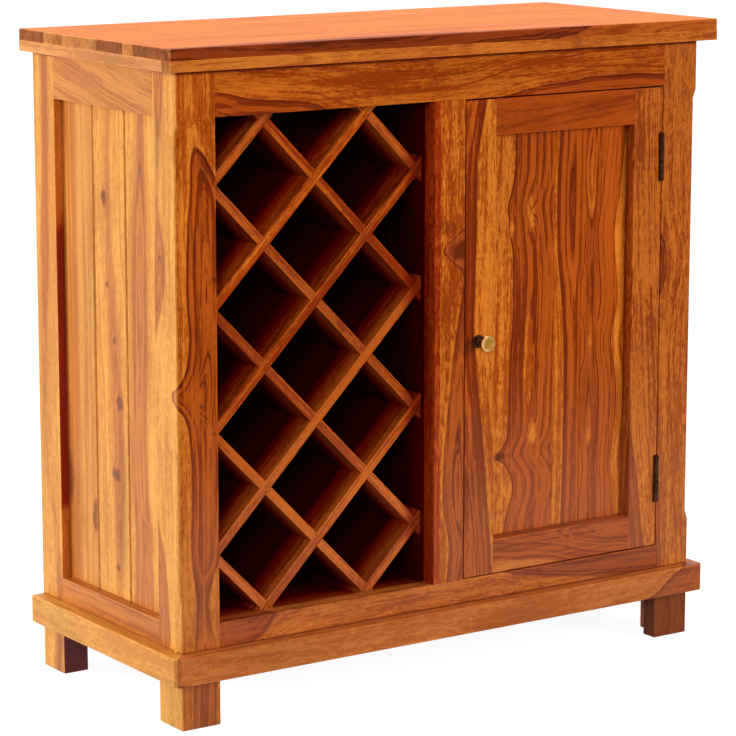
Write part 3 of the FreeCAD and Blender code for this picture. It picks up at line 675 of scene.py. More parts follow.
# %% Figures of the front frame
UNDER_RIM = 3.0  # the painted shade under the top's rim lies this far down
# lines of painted shade above the base moulding and under the top's rim
LEDGES = (("z", spot_of("base_moulding_front", "z", HIGH)),
          ("z", spot_of("top_edging_front", "z", LOW) - UNDER_RIM))
FRONT = {
    "front_stile_left": dict(
        heart=[(0, 15, 50), (60, 17, 53), (110, 20, 52), (150, 23, 42), (180, 24, 43), (205, 20, 50),
               (230, 16, 60), (300, 18, 66), (380, 17, 74), (415, 12, 74), (436, 0, 75), (448, -6, 75),
               (462, 2, 76), (490, 12, 76), (600, 13, 74), (680, 17, 70),
               (720, 20, 64), (750, 21, 50), (765, 24, 40), (776, 27, 30), (800, 34, 22), (885, 50, 6)],
        knots=[(-2, 447, 7, 12, 0.9), (55, 598, 5, 8, 0.9), (54, 395, 4, 7, 0.7), (48, 300, 4, 8, 0.6),
               (43, 740, 26, 46, 0.67, 0), (25, 640, 8, 95, 0.68, 0), (25, 530, 6, 60, 0.64, 0)],
        spacing=3.4, wander=3.0, depth=8.0, outline=0.8, stripes=1.3, rim=2.2, foot="pale", shade_lines=LEDGES,
        # painted light: the leg's left face takes the paler side tones, as if lit by the side lamp
        faces=[("left", "side", ())]),
    "divider_stile": dict(
        palette="divider",
        heart=[(12, 20, 70), (62, 22, 70), (112, 14, 66), (162, 12, 66), (212, 16, 66), (262, 22, 66),
               (312, 30, 66), (362, 38, 64), (412, 46, 62), (436, 50, 60), (454, 42, 60), (468, 22, 60),
               (476, 14, 60), (488, 26, 60), (504, 46, 60), (516, 58, 60), (692, 60, 54)],
        knots=[(44, 475, 19, 17, 1.0), (20, 510, 56, 24, 0.64, 0), (4, 478, 16, 30, 0.6, 0),
               (28, 412, 7, 9, 0.5), (10, 388, 6, 8, 0.45), (20, 575, 26, 8, 0.56, 5),
               (12, 640, 22, 9, 0.54, 5)],
        spacing=5.0, outline=0.4, stripes=0.9, mottle=1.5, recess=(-176, -152, 0.62, 0.42)),
    "front_stile_right": dict(
        palette="brown", spacing=4.6, mottle=1.5, foot="dark", shade_lines=LEDGES,
        heart=[(0, -30, 64), (62, -30, 60), (75, -30, 14), (120, -30, 12), (220, -30, 4), (270, -30, -3),
               (500, -30, -3), (530, -30, 8), (575, -30, 8), (610, -30, -3), (885, -30, -6)]),
    "front_top_rail": dict(
        grain="x", palette="deep",
        heart=[(0, 45, 120), (15, 47, 120), (75, 59, 120), (165, 65, 120), (195, 74, 120),
               (300, 92, 120), (400, 92, 120), (475, 75, 120), (555, 62, 120), (635, 55, 120),
               (772, 60, 120)],
        spacing=6.5, wander=6.0, stripes=1.6, outline=0.7, shade_lines=LEDGES),
    "front_bottom_rail": dict(
        grain="x", palette="bottom rail",
        heart=[(0, -60, 60), (15, -60, 45), (75, -60, 30), (115, -60, -5), (250, -60, -20),
               (440, -60, -12), (500, -60, 4), (575, -60, 20), (655, -60, 30), (772, -60, 36)],
        blur=2.0, outline=0.1, shade_lines=LEDGES),
    "base_moulding_front": dict(
        grain="x", palette="moulding",
        heart=[(0, 33, 90), (50, 38, 90), (80, 44, 90), (740, 50, 90), (790, 36, 90), (870, 0, 90),
               (889, -8, 90)], wander=16.0, spacing=5.0, outline=0.2, stripes=0.7),
    "top_edging_front": dict(
        grain="x", palette="edging", spacing=4.0, stripes=0.8, blur=6.0, outline=0.0,
        heart=[(0, -20, 40), (180, -20, 36), (300, 0, 12), (360, 12, 4), (500, 20, 0), (900, 20, 0)],
        faces=[("left", "top end", ())]),
    "top_board": dict(
        seen="top", grain="x", palette="top",
        heart=[(0, 384, 470), (560, 385, 470), (620, 390, 470), (700, 402, 470), (760, 414, 470),
               (900, 424, 470)], spacing=6.0, wander=5.0, stripes=1.2,
        staves=(-79, 12, 82, 109),
        faces=[("front", "top front", ()), ("ends", "top end", ()),
               ("ends", "top end dark", [(-200, -130), (12, 82), (109, 240)])]),
}
print("boards of the front:", ", ".join(FRONT))

# %% [markdown]
# ## The boards of the door
#
# The door is a frame of four boards round a panel of three. A joiner picks the boldest wood for the
# panel: the left board has a dark edge that bends round a knot, with pale windows of sapwood in it,
# and the right one was cut just beside the pith, so its layers close to a chain of long eyes. A
# shallow heart (a small Depth) makes such eyes. A painted shade darkens the panel where it meets
# the frame, so we also list those lines.

# %% Figures of the door
PANEL = (("x", spot_of("door_stile_knob_side", "x", HIGH)),
         ("x", spot_of("door_stile_hinge_side", "x", LOW)),
         ("z", spot_of("door_bottom_rail", "z", HIGH)), ("z", spot_of("door_top_rail", "z", LOW)))
DOOR = {
    "door_stile_knob_side": dict(
        heart=[(0, -30, 48), (50, -30, 44), (100, -30, 38), (150, -30, 33), (200, -30, 28),
               (250, -30, 22), (300, -30, 18), (350, -30, 14), (430, -30, 16), (500, -30, 17),
               (580, -30, 20), (620, -30, 25), (665, -30, 33)],
        spacing=4.2, wander=2.5, outline=0.6, mottle=1.4, band=26.0),
    "door_stile_hinge_side": dict(
        palette="brown", stripes=1.7, tilt=0.05, blur=3.0, outline=0.0, mottle=1.6,
        heart=[(0, -40, 12), (50, -40, 8), (150, -40, 0), (250, -40, -6), (450, -40, -10),
               (664, -40, -6)]),
    "door_top_rail": dict(
        grain="x", palette="deep", heart=(-60, 110), spacing=14.0, tilt=0.1, stripes=0.7, wander=12.0),
    "door_bottom_rail": dict(
        grain="x", palette="moulding",
        heart=[(0, -40, 30), (60, -40, 36), (120, -40, 46), (180, -40, 62), (282, -40, 70)],
        spacing=3.0, outline=0.2, stripes=1.3, mottle=0.7, blur=3.0),
    "door_plank_left": dict(
        heart=[(0, 36, 250), (28, 40, 250), (48, 46, 250), (68, 52, 250), (88, 50, 250), (108, 38, 250),
               (122, 30, 250), (135, 36, 250), (150, 43, 250), (210, 45, 250), (260, 46, 250),
               (310, 49, 250), (360, 51, 250), (400, 50, 250), (430, 47, 250), (450, 44, 250),
               (470, 41, 250), (490, 46, 250), (510, 51, 250), (575, 52, 250)],
        knots=[(31, 121, 15, 9, 0.95, 8), (80, 461, 9, 27, -1.0, 9), (48, 442, 4, 14, -1.0, 6),
               (80, 255, 9, 75, -1.0, 9), (86, 150, 8, 20, -1.0, 8)],
        spacing=4.4, wander=3.0, outline=0.8, band=15.0, stripes=1.6, mottle=1.5, shade_lines=PANEL),
    "door_plank_middle": dict(
        heart=[(0, 16, 60), (110, 18, 60), (260, 18, 60), (340, 14, 60), (410, 6, 60), (575, 8, 60)],
        spacing=2.6, wander=2.0, shade_lines=PANEL),
    "door_plank_right": dict(
        heart=[(0, -30, 64), (60, -26, 62), (90, -22, 60), (160, -32, 68), (220, -30, 66),
               (265, -20, 58), (330, -32, 68), (400, -22, 62), (420, -20, 60), (480, -32, 70),
               (540, -36, 76), (583, -30, 82)],
        knots=[(17, 480, 13, 85, -0.52), (17, 272, 9, 22, -0.52), (17, 130, 11, 40, -0.48)],
        depth=0.6, spacing=3.4, wander=2.0, groove=0.5, band=4.0, stripes=1.4, shade_lines=PANEL),
}
print("boards of the door:", ", ".join(DOOR))

# %% [markdown]
# ## The boards of the left side
#
# The side is paler: mostly sapwood, with soft brown patches and a row of small knots on the middle
# board. The strip of the back post that faces the panel lies in a painted shade, which is darker
# half way up. Once all figures are listed, one loop makes a material for each board.

# %% Figures of the left side
# lines of painted shade around the side's panels
SIDE_PANEL = (("y", spot_of("side_stile_left", "y", HIGH)), ("y", spot_of("back_post_left", "y", LOW)),
              ("z", spot_of("side_bottom_rail_left", "z", HIGH)),
              ("z", spot_of("side_top_rail_left", "z", LOW)))
SIDE = {
    "back_post_left": dict(
        heart=[(0, 34, 50), (200, 36, 48), (300, 14, 20), (450, 10, 22), (600, 12, 34), (720, 20, 38),
               (885, 22, 40)], blur=4.0, outline=0.1, recess=(146.7, 146.0, 1.0, (232, 640, 0.2, 0.74)),
        shade_lines=LEDGES),
    "side_stile_left": dict(
        heart=[(0, -10, -2), (62, -10, 0), (100, -10, 26), (170, -10, 26), (230, -10, 16), (270, -10, 4),
               (320, -10, -8), (480, -10, -6), (530, -8, 6), (560, -6, 18), (610, 0, 26), (650, 2, 22),
               (700, 4, 14), (760, 6, 16), (850, 4, 26), (885, 2, 28)],
        blur=2.5, outline=0.25, wander=2.0, shade_lines=LEDGES),
    "side_top_rail_left": dict(palette="side rail", grain="y", heart=(-60, 140), tilt=-0.2, spacing=8.0,
                               stripes=0.8, wander=8.0, band=1.0, mottle=0.7),
    "side_bottom_rail_left": dict(grain="y", heart=(-60, 140), spacing=6.0, band=1.0, shade_lines=LEDGES),
    "side_plank_back_left": dict(
        palette="side rail", blur=6.0, outline=0.0, band=60.0, wander=2.0, groove=1.0,
        mottle=0.6, shade_lines=SIDE_PANEL,
        heart=[(0, -20, 40), (200, -20, 43), (400, -20, 46), (680, -20, 44)],
        knots=[(80, 108, 10, 28, 1.2, 10), (4, 150, 29, 52, 0.95, 0), (5, 30, 18, 60, 0.62, 0)]),
    "side_plank_middle_left": dict(
        heart=[(0, 50, 60), (200, 44, 78), (300, 40, 70), (400, 34, 60), (550, 28, 46), (680, 40, 44)],
        knots=[(28, 552, 9, 14, 0.95, 8), (34, 435, 5, 6, 0.9, 4), (51, 360, 8, 9, 0.85, 6),
               (63, 277, 13, 14, 0.95, 9), (53, 178, 15, 14, 0.95, 9), (53, 48, 6, 7, 0.9, 4)],
        blur=8.0, outline=0.0, groove=1.0, shade_lines=SIDE_PANEL),
    "side_plank_front_left": dict(
        heart=[(0, 10, 62), (60, 12, 60), (110, 14, 62), (150, 10, 54), (200, 8, 52), (400, 10, 56),
               (500, 14, 58), (600, 24, 56), (680, 34, 50)],
        blur=6.0, outline=0.1, groove=1.0, stripes=0.9, shade_lines=SIDE_PANEL),
    "base_moulding_left": dict(grain="y", heart=(-60, -40), wander=16.0, spacing=5.0),
    "top_edging_left": dict(palette="side edging", grain="y", heart=(-60, -40), mottle=0.7),
}
for number, (node, figure) in enumerate({**FRONT, **DOOR, **SIDE}.items()):
    if node in SIDE:
        figure = {"seen": "left", "palette": "side", **figure}
    dress(node, board_material(node, seed=1.7 * number + 0.4, **figure))
print("boards with a figure of their own:", len(FRONT) + len(DOOR) + len(SIDE))

# %% [markdown]
# ## The boards that the photograph doesn't show
#
# The right side, the back and the cupboard's inside are made of the same wood. Their hearts come
# from a random generator with a fixed seed for each board, so that they look chosen by chance but
# stay the same each time. The back is a sheet of plywood, whose veneer is peeled off the log and
# has a broad, calm figure: a deep heart with a blurred edge.

# %% Boards of the right side, the back and the inside
PLAIN = {
    "side_stile_right": dict(seen="right"),
    "back_post_right": dict(seen="right"),
    "side_top_rail_right": dict(seen="right", grain="y"),
    "top_edging_right": dict(seen="right", grain="y"),
    "side_bottom_rail_right": dict(seen="right", grain="y"),
    "side_plank_front_right": dict(seen="right", groove=1.0),
    "side_plank_middle_right": dict(seen="right", groove=1.0),
    "side_plank_back_right": dict(seen="right", groove=1.0),
    "back_top_rail": dict(seen="back", grain="x"),
    "back_bottom_rail": dict(seen="back", grain="x"),
    "base_moulding_right": dict(seen="right", grain="y", palette="moulding"),
    "back_panel": dict(seen="back", palette="brown", wander=14.0, spacing=9.0, depth=60.0, outline=0.0,
                       blur=14.0, recess=(-143, -90, 1.0, 0.03, "far")),
    "bottom_board": dict(seen="top", grain="x", palette="deep", recess=(-151, -100, 0.7, 0.03, "near")),
    "partition": dict(seen="right", palette="deep", recess=(-151, -100, 0.04, 0.012)),
    "rack_lining": dict(seen="right", palette="deep", recess=(-151, -100, 0.6, 0.03)),
    "shelf": dict(seen="top", grain="x", palette="deep"),
}
for number, (node, figure) in enumerate(PLAIN.items()):
    chance = random.Random(number)
    low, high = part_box(node)
    sizes = sorted((high - low) / MM)
    line = [(sizes[2] * k / 5, chance.uniform(-0.2, 0.4) * sizes[1], chance.uniform(0.3, 0.9) * sizes[1])
            for k in range(6)]
    dress(node, board_material(node, seed=2.3 * number + 60.0, heart=line, **figure))
print("plainer boards:", len(PLAIN))

# %% [markdown]
# ## The boards of the wine rack
#
# The boards of the rack run at 45 degrees and lock into each other with half laps. The grain follows
# each board, so the direction of its material is turned too. The cells are deep and get almost no
# light, and the little that arrives has bounced off red wood, so a painted shade turns the boards red
# and then black behind their front edges. The corner pieces are one CAD node with two directions of
# grain.

# %% Boards of the wine rack
RACK_SLOPE = 1.009
RACK_PALETTES = {1: ("brown", "front", "deep", "brown", "deep"),
                 -1: ("deep", "deep", "brown", "brown", "deep")}
# painted shade of the rack's cells, from the front edges to nearly black further in
RACK_SHADE = (-143, -88, 0.85, 0.02)
rack_count = 0
for node in sorted(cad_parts):
    if node.startswith("rack_board") or node == "rack_corner_boards":
        rise = -1 if "falling" in node else 1
        number = int(node[-1]) if node[-1].isdigit() else 0
        along, falling = (Vector((1, 0, way * RACK_SLOPE)).normalized() for way in (rise, -1))
        dress(node, board_material(
            node, palette=RACK_PALETTES[rise][number], grain=along, seed=3.1 * number + rise,
            spacing=7.0, stripes=1.5, recess=RACK_SHADE, second_grain=None if number else falling))
        rack_count += 1
print("boards of the rack:", rack_count)

# %% [markdown]
# ## Brass, bronze and steel
#
# The knob is cast brass that has gone dull and olive, the hinges are dark bronze, and the screws and
# pegs inside are plain steel. Each is a metallic surface with cloudy tarnish from slow noise and
# a fine grit in the roughness, because no small fitting is evenly shiny.

# %% Metal
TARNISH = (58, 38, 18)


def metal_material(name, light, dark, roughness, metallic=1.0, patina=None, rim=None):
    """patina = (dark until this y, bright from this y): hands polish only what they reach;
    rim = (x, z, radius, bright): a painted highlight in the colour bright, from half the radius out."""
    material, t = fresh(bpy.data.materials, name)
    place = t.vector("MULTIPLY", t.wire("ShaderNodeTexCoord", output="Object"), (1 / MM,) * 3)
    cloud = t.noise(place, (0.18, 0.18, 0.18), 4.0, 0.6)
    grit = t.noise(place, (1.5, 1.5, 1.5), 3.0, 0.6)
    tint = t.mix(t.fade(cloud, 0.35, 0.65), colour(*dark), colour(*light))
    x, y, z = t.split(place)
    if patina:
        polished = t.fade(t.swing(cloud, 8.0, y), *patina)
        tint = t.mix(polished, colour(*TARNISH), tint)
    # painted highlight: the rim of the knob turns to the bright colour
    if rim:
        centre_x, centre_z, radius, bright = rim
        x, z = x - centre_x, z - centre_z
        out = t.math("SQRT", x * x + z * z)
        painted_rim_highlight = t.fade(t.swing(cloud, 5.0, out), radius * 0.55, radius) * polished
        tint = t.mix(painted_rim_highlight, tint, colour(*bright))
    bump = t.wire("ShaderNodeBump", {"Height": grit, "Strength": 0.2, "Distance": 0.05 * MM})
    shader = t.wire("ShaderNodeBsdfPrincipled", {
        "Base Color": tint, "Roughness": t.swing(grit, 0.3, roughness), "Normal": bump,
        "Metallic": metallic})
    t.add("ShaderNodeOutputMaterial", {"Surface": shader})
    return material


KNOB_RADIUS = 11.8
KNOB = (spot_of("knob", "x", MIDDLE), spot_of("knob_rosette", "y", HIGH), spot_of("knob", "z", MIDDLE))
bronze = metal_material("dark bronze", (80, 48, 32), (44, 24, 15), 0.5)
# the last colour is the painted highlight on the knob's rim
brass = metal_material("aged brass", (176, 128, 56), (150, 106, 42), 0.34,
                       patina=(KNOB[1] - 1, KNOB[1] - 20),
                       rim=(KNOB[0], KNOB[2], KNOB_RADIUS, (218, 174, 104)))
steel = metal_material("zinc plated steel", (176, 176, 174), (140, 140, 140), 0.35)
casing = metal_material("catch casing", (64, 60, 58), (44, 40, 38), 0.55, metallic=0.0)
dress("catch_plate", steel)
dress("catch_magnet", casing)
print("metals: bronze, brass, steel; casing of the catch")

# %% [markdown]
# ## Turning and casting the small metal
#
# The knob, its rosette, the screws, pins and pegs are all turned on a lathe: a tool follows a
# profile while the metal spins. We do the same: a profile of radius and height is swept round an
# axis. A real tool leaves no perfectly sharp corner, so each corner of the profile is eased first.

# %% A lathe
def eased(profile, ease, parts=3):
    """The same profile with each corner rounded, starting ease millimetres before the corner."""
    line = [profile[0]]
    for before, corner, after in zip(profile, profile[1:], profile[2:]):
        before, corner, after = Vector(before), Vector(corner), Vector(after)
        start = corner + (before - corner).normalized() * min(ease, (before - corner).length / 2.1)
        end = corner + (after - corner).normalized() * min(ease, (after - corner).length / 2.1)
        for k in range(parts + 1):
            share = k / parts
            point = start.lerp(corner, share).lerp(corner.lerp(end, share), share)
            line.append(tuple(point))
    return line + [profile[-1]]


def turned(profile, axis, place, steps=48):
    """A closed solid of revolution; the profile lists (radius, distance along the axis)."""
    shape = bmesh.new()
    axis = Vector(axis)
    side = axis.orthogonal().normalized()
    up = axis.cross(side)
    rings = []
    for radius, along in profile:
        count = steps if radius > 0 else 1
        ring = []
        for k in range(count):
            angle = 2 * math.pi * k / steps
            out = side * math.cos(angle) + up * math.sin(angle)
            ring.append(shape.verts.new((Vector(place) + axis * along + out * radius) * MM))
        rings.append(ring)
    for low, high in zip(rings, rings[1:]):
        for k in range(steps):
            corners = [low[k % len(low)], low[(k + 1) % steps % len(low)],
                       high[(k + 1) % steps % len(high)], high[k % len(high)]]
            shape.faces.new(dict.fromkeys(corners))
    bmesh.ops.recalc_face_normals(shape, faces=shape.faces)
    return shape


def metal_piece(name, shape, material):
    """Turns a bmesh into a smooth object with crisp edges where faces meet at more than 40 degrees."""
    mesh = bpy.data.meshes.new(name)
    shape.to_mesh(mesh)
    shape.free()
    mesh.polygons.foreach_set("use_smooth", [True] * len(mesh.polygons))
    mesh.set_sharp_from_angle(angle=math.radians(40))
    mesh.materials.append(material)
    return placed(name, mesh)


def stand_in(piece, body, slot, *nodes):
    """Says which body a piece moves with and which CAD pieces it stands for; slot is not used."""
    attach(piece, body)
    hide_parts(*nodes)
    print(piece.name, "replaces", ", ".join(nodes), "with", len(piece.data.polygons), "faces")


print("points of a square corner once eased:", len(eased([(0, 0), (1, 0), (1, 1)], 0.2)))

# %% [markdown]
# ## The knob
#
# The knob is a small mushroom of brass on a slim neck, and its rosette is a thin disc that hides
# the hole in the stile. Both profiles start at the door and end at the front, in millimetres.

# %% The knob and its rosette
FORWARD = (0, -1, 0)
knob_profile = [(0, 2.6), (5.5, 2.6), (5.4, 3.6), (4.3, 5.2), (3.7, 8.0), (3.6, 10.5), (3.8, 13.0),
                (4.6, 15.8), (6.2, 18.0), (9.0, 19.8), (11.5, 20.9), (KNOB_RADIUS, 22.0),
                (KNOB_RADIUS, 23.5), (11.0, 24.9), (9.0, 26.3), (6.0, 27.4), (3.0, 27.9), (0, 28.0)]
rosette_profile = [(0, 0), (9.5, 0), (9.5, 1.2), (8.8, 2.1), (7.4, 2.6), (5.6, 2.3), (0, 2.3)]
knob = turned(eased(knob_profile, 0.9), FORWARD, KNOB, 72)
stand_in(metal_piece("knob_turned", knob, brass), "door", "aged_brass", "knob")
rosette = turned(eased(rosette_profile, 0.4), FORWARD, KNOB, 72)
stand_in(metal_piece("knob_rosette_turned", rosette, bronze), "door", "dark_bronze", "knob_rosette")

# %% [markdown]
# ## Screws, knuckles and pegs in rows
#
# Screws come in threes, knuckles in rows of five, and each hinge exists twice, so we model one of
# each and let Geometry Nodes set out the rest: a row of places, a second row of such rows, and the
# master on every place. A random turn keeps the screw slots from lining up, as no fitter turns them
# alike. The result becomes one plain mesh, because exporters drop instances.

# %% Rows by Geometry Nodes
FULL_TURN = 6.2832


def row_group():
    tree = bpy.data.node_groups.new("rows of fittings", "GeometryNodeTree")
    names = {"Master": "Geometry", "Count": "Int", "Step": "Vector", "Rows": "Int", "Row step": "Vector",
             "Turn axis": "Vector", "Pivot": "Vector", "Seed": "Int", "Material": "Material"}
    for name, kind in names.items():
        tree.interface.new_socket(name=name, in_out="INPUT", socket_type="NodeSocket" + kind)
    tree.interface.new_socket(name="Fittings", in_out="OUTPUT", socket_type="NodeSocketGeometry")
    t = Tree(tree)
    given = t.wires("NodeGroupInput")
    row = t.wire("GeometryNodeMeshLine", {"Count": given["Count"], "Offset": given["Step"],
                                          "Start Location": given["Pivot"]})
    rows = t.wire("GeometryNodeMeshLine", {"Count": given["Rows"], "Offset": given["Row step"]})
    places = t.wire("GeometryNodeInstanceOnPoints", {"Points": rows, "Instance": row})
    places = t.wire("GeometryNodeRealizeInstances", {0: places})
    turn = t.wire("FunctionNodeRandomValue", {"Max": (FULL_TURN,) * 3, "Seed": given["Seed"]},
                  data_type="FLOAT_VECTOR")
    turn = t.vector("MULTIPLY", turn, given["Turn axis"])
    back = t.vector("MULTIPLY", given["Pivot"], (-1.0, -1.0, -1.0))
    master = t.wire("GeometryNodeTransform", {"Geometry": given["Master"], "Translation": back})
    fittings = t.wire("GeometryNodeInstanceOnPoints", {
        "Points": places, "Instance": master, "Rotation": turn})
    fittings = t.wire("GeometryNodeRealizeInstances", {0: fittings})
    fittings = t.wire("GeometryNodeSetMaterial", {0: fittings, "Material": given["Material"]})
    t.add("NodeGroupOutput", {0: fittings})
    return tree


row_tree = row_group()
SOCKETS = {item.name: item.identifier for item in row_tree.interface.items_tree
           if item.in_out == "INPUT"}


def evaluated(piece):
    """The plain mesh that a piece's modifiers make; the modifiers are then removed."""
    mesh = bpy.data.meshes.new_from_object(piece.evaluated_get(bpy.context.evaluated_depsgraph_get()))
    piece.modifiers.clear()
    piece.data = mesh
    return piece


def in_rows(piece, count, step, rows, row_step, pivot=(0, 0, 0), turn=(0, 0, 0), seed=0):
    """Repeats a master; lengths in millimetres, pivot is the point that each master turns about."""
    rows_of = piece.modifiers.new("rows", "NODES")
    rows_of.node_group = row_tree
    values = {"Count": count, "Step": [v * MM for v in step], "Rows": rows, "Seed": seed,
              "Row step": [v * MM for v in row_step], "Turn axis": [float(v) for v in turn],
              "Pivot": [v * MM for v in pivot], "Material": piece.data.materials[0]}
    for name, value in values.items():
        rows_of[SOCKETS[name]] = value
    return evaluated(piece)


print("inputs of the rows:", ", ".join(SOCKETS))

# %% [markdown]
# ## The butt hinges
#
# A butt hinge is two leaves of sheet metal whose edges are rolled into knuckles, alternately from
# one leaf and the other, with a pin through all five. Here three knuckles belong to the leaf on the
# frame and two to the leaf on the door. Only the barrel shows while the door is shut.

# %% Knuckles, leaves and pins
LEAF_FRONT, LEAF_BACK, LEAF_HEIGHT = -173.9, spot_of("hinge_leaves_frame", "y", HIGH), 68.0
HINGE = Vector((spot_of("hinge_pins", "x", MIDDLE), spot_of("hinge_pins", "y", MIDDLE),
                spot_of("hinge_leaves_frame", "z", LOW)))
HINGE_STEP = (0, 0, spot_of("hinge_leaves_frame", "z", HIGH) - LEAF_HEIGHT - HINGE.z)
KNUCKLE, KNUCKLE_GAP = LEAF_HEIGHT / 5, 0.15
BARREL, BARREL_STEPS = 3.75, 48
LEAF_CORNER, CORNER_STEPS = 2.0, 6
LEAF_THICKNESS, EASE = 1.4, 0.35
FRAME_FACE = spot_of("hinge_screws_frame", "x", LOW)  # the leaves face each other here
DOOR_FACE = spot_of("hinge_screws_door", "x", HIGH)


def prism(shape, outline, low, high, shrink=None):
    """A closed prism on z over a flat outline; shrink is the slightly smaller outline of eased ends."""
    levels = [(outline, low), (outline, high)]
    if shrink:
        levels = [(shrink, low), (outline, low + EASE), (outline, high - EASE), (shrink, high)]
    rings = [[shape.verts.new((x * MM, y * MM, z * MM)) for x, y in points] for points, z in levels]
    for below, above in zip(rings, rings[1:]):
        for k in range(len(below)):
            m = (k + 1) % len(below)
            shape.faces.new((below[k], below[m], above[m], above[k]))
    shape.faces.new(rings[0][::-1])
    shape.faces.new(rings[-1])
    bmesh.ops.recalc_face_normals(shape, faces=shape.faces)


def knuckle(leaf_inner, leaf_outer, low):
    """One rolled knuckle: a round barrel with a tab that runs back to the leaf."""
    right, left = max(leaf_inner, leaf_outer) - HINGE.x, min(leaf_inner, leaf_outer) - HINGE.x
    start = math.acos(max(-1.0, min(1.0, left / BARREL)))
    stop = 2 * math.pi + math.acos(max(-1.0, min(1.0, right / BARREL)))
    outline, ends = [], []
    for k in range(BARREL_STEPS + 1):
        angle = start + (stop - start) * k / BARREL_STEPS
        spot = Vector((math.cos(angle), math.sin(angle)))
        outline.append(HINGE.xy + spot * BARREL)
        ends.append(HINGE.xy + spot * (BARREL - EASE))
    tab = [(HINGE.x + right, LEAF_FRONT), (HINGE.x + left, LEAF_FRONT)]
    shape = bmesh.new()
    prism(shape, outline + tab, low, low + KNUCKLE - KNUCKLE_GAP, ends + tab)
    return shape


def leaf(shape, x_low, x_high, low):
    """A leaf with rounded far corners: a lying prism that is turned upright."""
    top = low + LEAF_HEIGHT
    points = [(LEAF_FRONT, low), (LEAF_FRONT, top)]
    for centre_z, first in ((top - LEAF_CORNER, 90), (low + LEAF_CORNER, 0)):
        for k in range(CORNER_STEPS + 1):
            angle = math.radians(first - 90 / CORNER_STEPS * k)
            points.append((LEAF_BACK - LEAF_CORNER + LEAF_CORNER * math.cos(angle),
                           centre_z + LEAF_CORNER * math.sin(angle)))
    others = len(shape.verts)
    prism(shape, points, x_low, x_high)
    for vert in list(shape.verts)[others:]:
        vert.co = vert.co.zxy


def hinge_leaves(name, body, node, inner, outer, first, count):
    """Knuckles in a row and both leaves of one side, as one piece."""
    piece = metal_piece(name, knuckle(inner, outer, HINGE.z + first * KNUCKLE), bronze)
    in_rows(piece, count, (0, 0, 2 * KNUCKLE), 2, HINGE_STEP)
    shape = bmesh.new()
    shape.from_mesh(piece.data)
    for place in (HINGE.z, HINGE.z + HINGE_STEP[2]):
        leaf(shape, min(inner, outer), max(inner, outer), place)
    whole = metal_piece(name + "_leaves", shape, bronze)
    bpy.data.objects.remove(piece)
    stand_in(whole, body, "dark_bronze", node)


hinge_leaves("hinge_frame", "cabinet", "hinge_leaves_frame",
             FRAME_FACE, FRAME_FACE + LEAF_THICKNESS, 0, 3)
hinge_leaves("hinge_door", "door", "hinge_leaves_door", DOOR_FACE, DOOR_FACE - LEAF_THICKNESS, 1, 2)
pin_profile = [(0, -0.8), (1.2, -0.7), (1.75, -0.2), (1.75, 68.2), (1.2, 68.7), (0, 68.8)]
pin = metal_piece("hinge_pins_turned", turned(eased(pin_profile, 0.3), (0, 0, 1), HINGE, 32), bronze)
stand_in(in_rows(pin, 1, (0, 0, 1), 2, HINGE_STEP), "cabinet", "dark_bronze", "hinge_pins")

# %% [markdown]
# ## Wood screws and shelf pegs
#
# A wood screw for a hinge has a countersunk head, flush with the leaf, and a slot or cross for the
# driver. We cut the cross into the master with a Boolean modifier, then set out three in a row on
# each leaf. The knob is held from inside by one pan head screw, and four pegs carry the shelf.

# %% Screws and pegs
THREAD_START, THREAD_PITCH, THREAD_DEPTH = 0.3, 1.2, 0.76
PROUD = 0.08  # how far a head stands before the face of its leaf
SCREW_MARGIN = 10.0  # from the end of a leaf to its first screw
PEG_RADIUS, PEG_LENGTH = 3.0, 18.0


def cross_cut(piece, place, axis, arm, width, depth):
    """Cuts a driver's cross into a screw head; place is the middle of the head's face."""
    axis = Vector(axis)
    side = axis.orthogonal().normalized()
    for along in (side, axis.cross(side)):
        across = axis.cross(along)
        shape = bmesh.new()
        half = width / 2
        prism(shape, [(-arm, -half), (arm, -half), (arm, half), (-arm, half)], -depth, depth)
        for vert in shape.verts:
            spot = along * vert.co.x + across * vert.co.y + axis * vert.co.z
            vert.co = Vector(place) * MM + spot
        bmesh.ops.recalc_face_normals(shape, faces=shape.faces)
        cutter = metal_piece("cutter", shape, piece.data.materials[0])
        cut = piece.modifiers.new("cut", "BOOLEAN")
        cut.object, cut.solver = cutter, "EXACT"
        evaluated(piece)
        bpy.data.objects.remove(cutter)
    return piece


def screw_profile(head, flat, shank, length):
    """Head from 0 to flat, then a shank with thread rings and a point."""
    along = length * THREAD_START
    points = [(0, 0), (head, 0), (head, 0.15), (shank, flat), (shank, along)]
    while along + THREAD_PITCH < length - 1.5:
        points += [(shank * THREAD_DEPTH, along + THREAD_PITCH * 0.35), (shank, along + THREAD_PITCH)]
        along += THREAD_PITCH
    return points + [(shank * 0.5, length - 0.9), (0, length)]


for name, body, node, face, axis, seed in (
        ("hinge_frame_screws", "cabinet", "hinge_screws_frame", FRAME_FACE - PROUD, (1, 0, 0), 3),
        ("hinge_door_screws", "door", "hinge_screws_door", DOOR_FACE + PROUD, (-1, 0, 0), 8)):
    head = (face, spot_of(node, "y", MIDDLE), HINGE.z + SCREW_MARGIN)
    screw = metal_piece(name, turned(screw_profile(2.9, 1.4, 1.5, 15.9), axis, head, 32), bronze)
    cross_cut(screw, head, axis, 1.7, 0.7, 1.0)
    step = (0, 0, LEAF_HEIGHT / 2 - SCREW_MARGIN)
    in_rows(screw, 3, step, 2, HINGE_STEP, pivot=head, turn=(1, 0, 0), seed=seed)
    stand_in(screw, body, "dark_bronze", node)

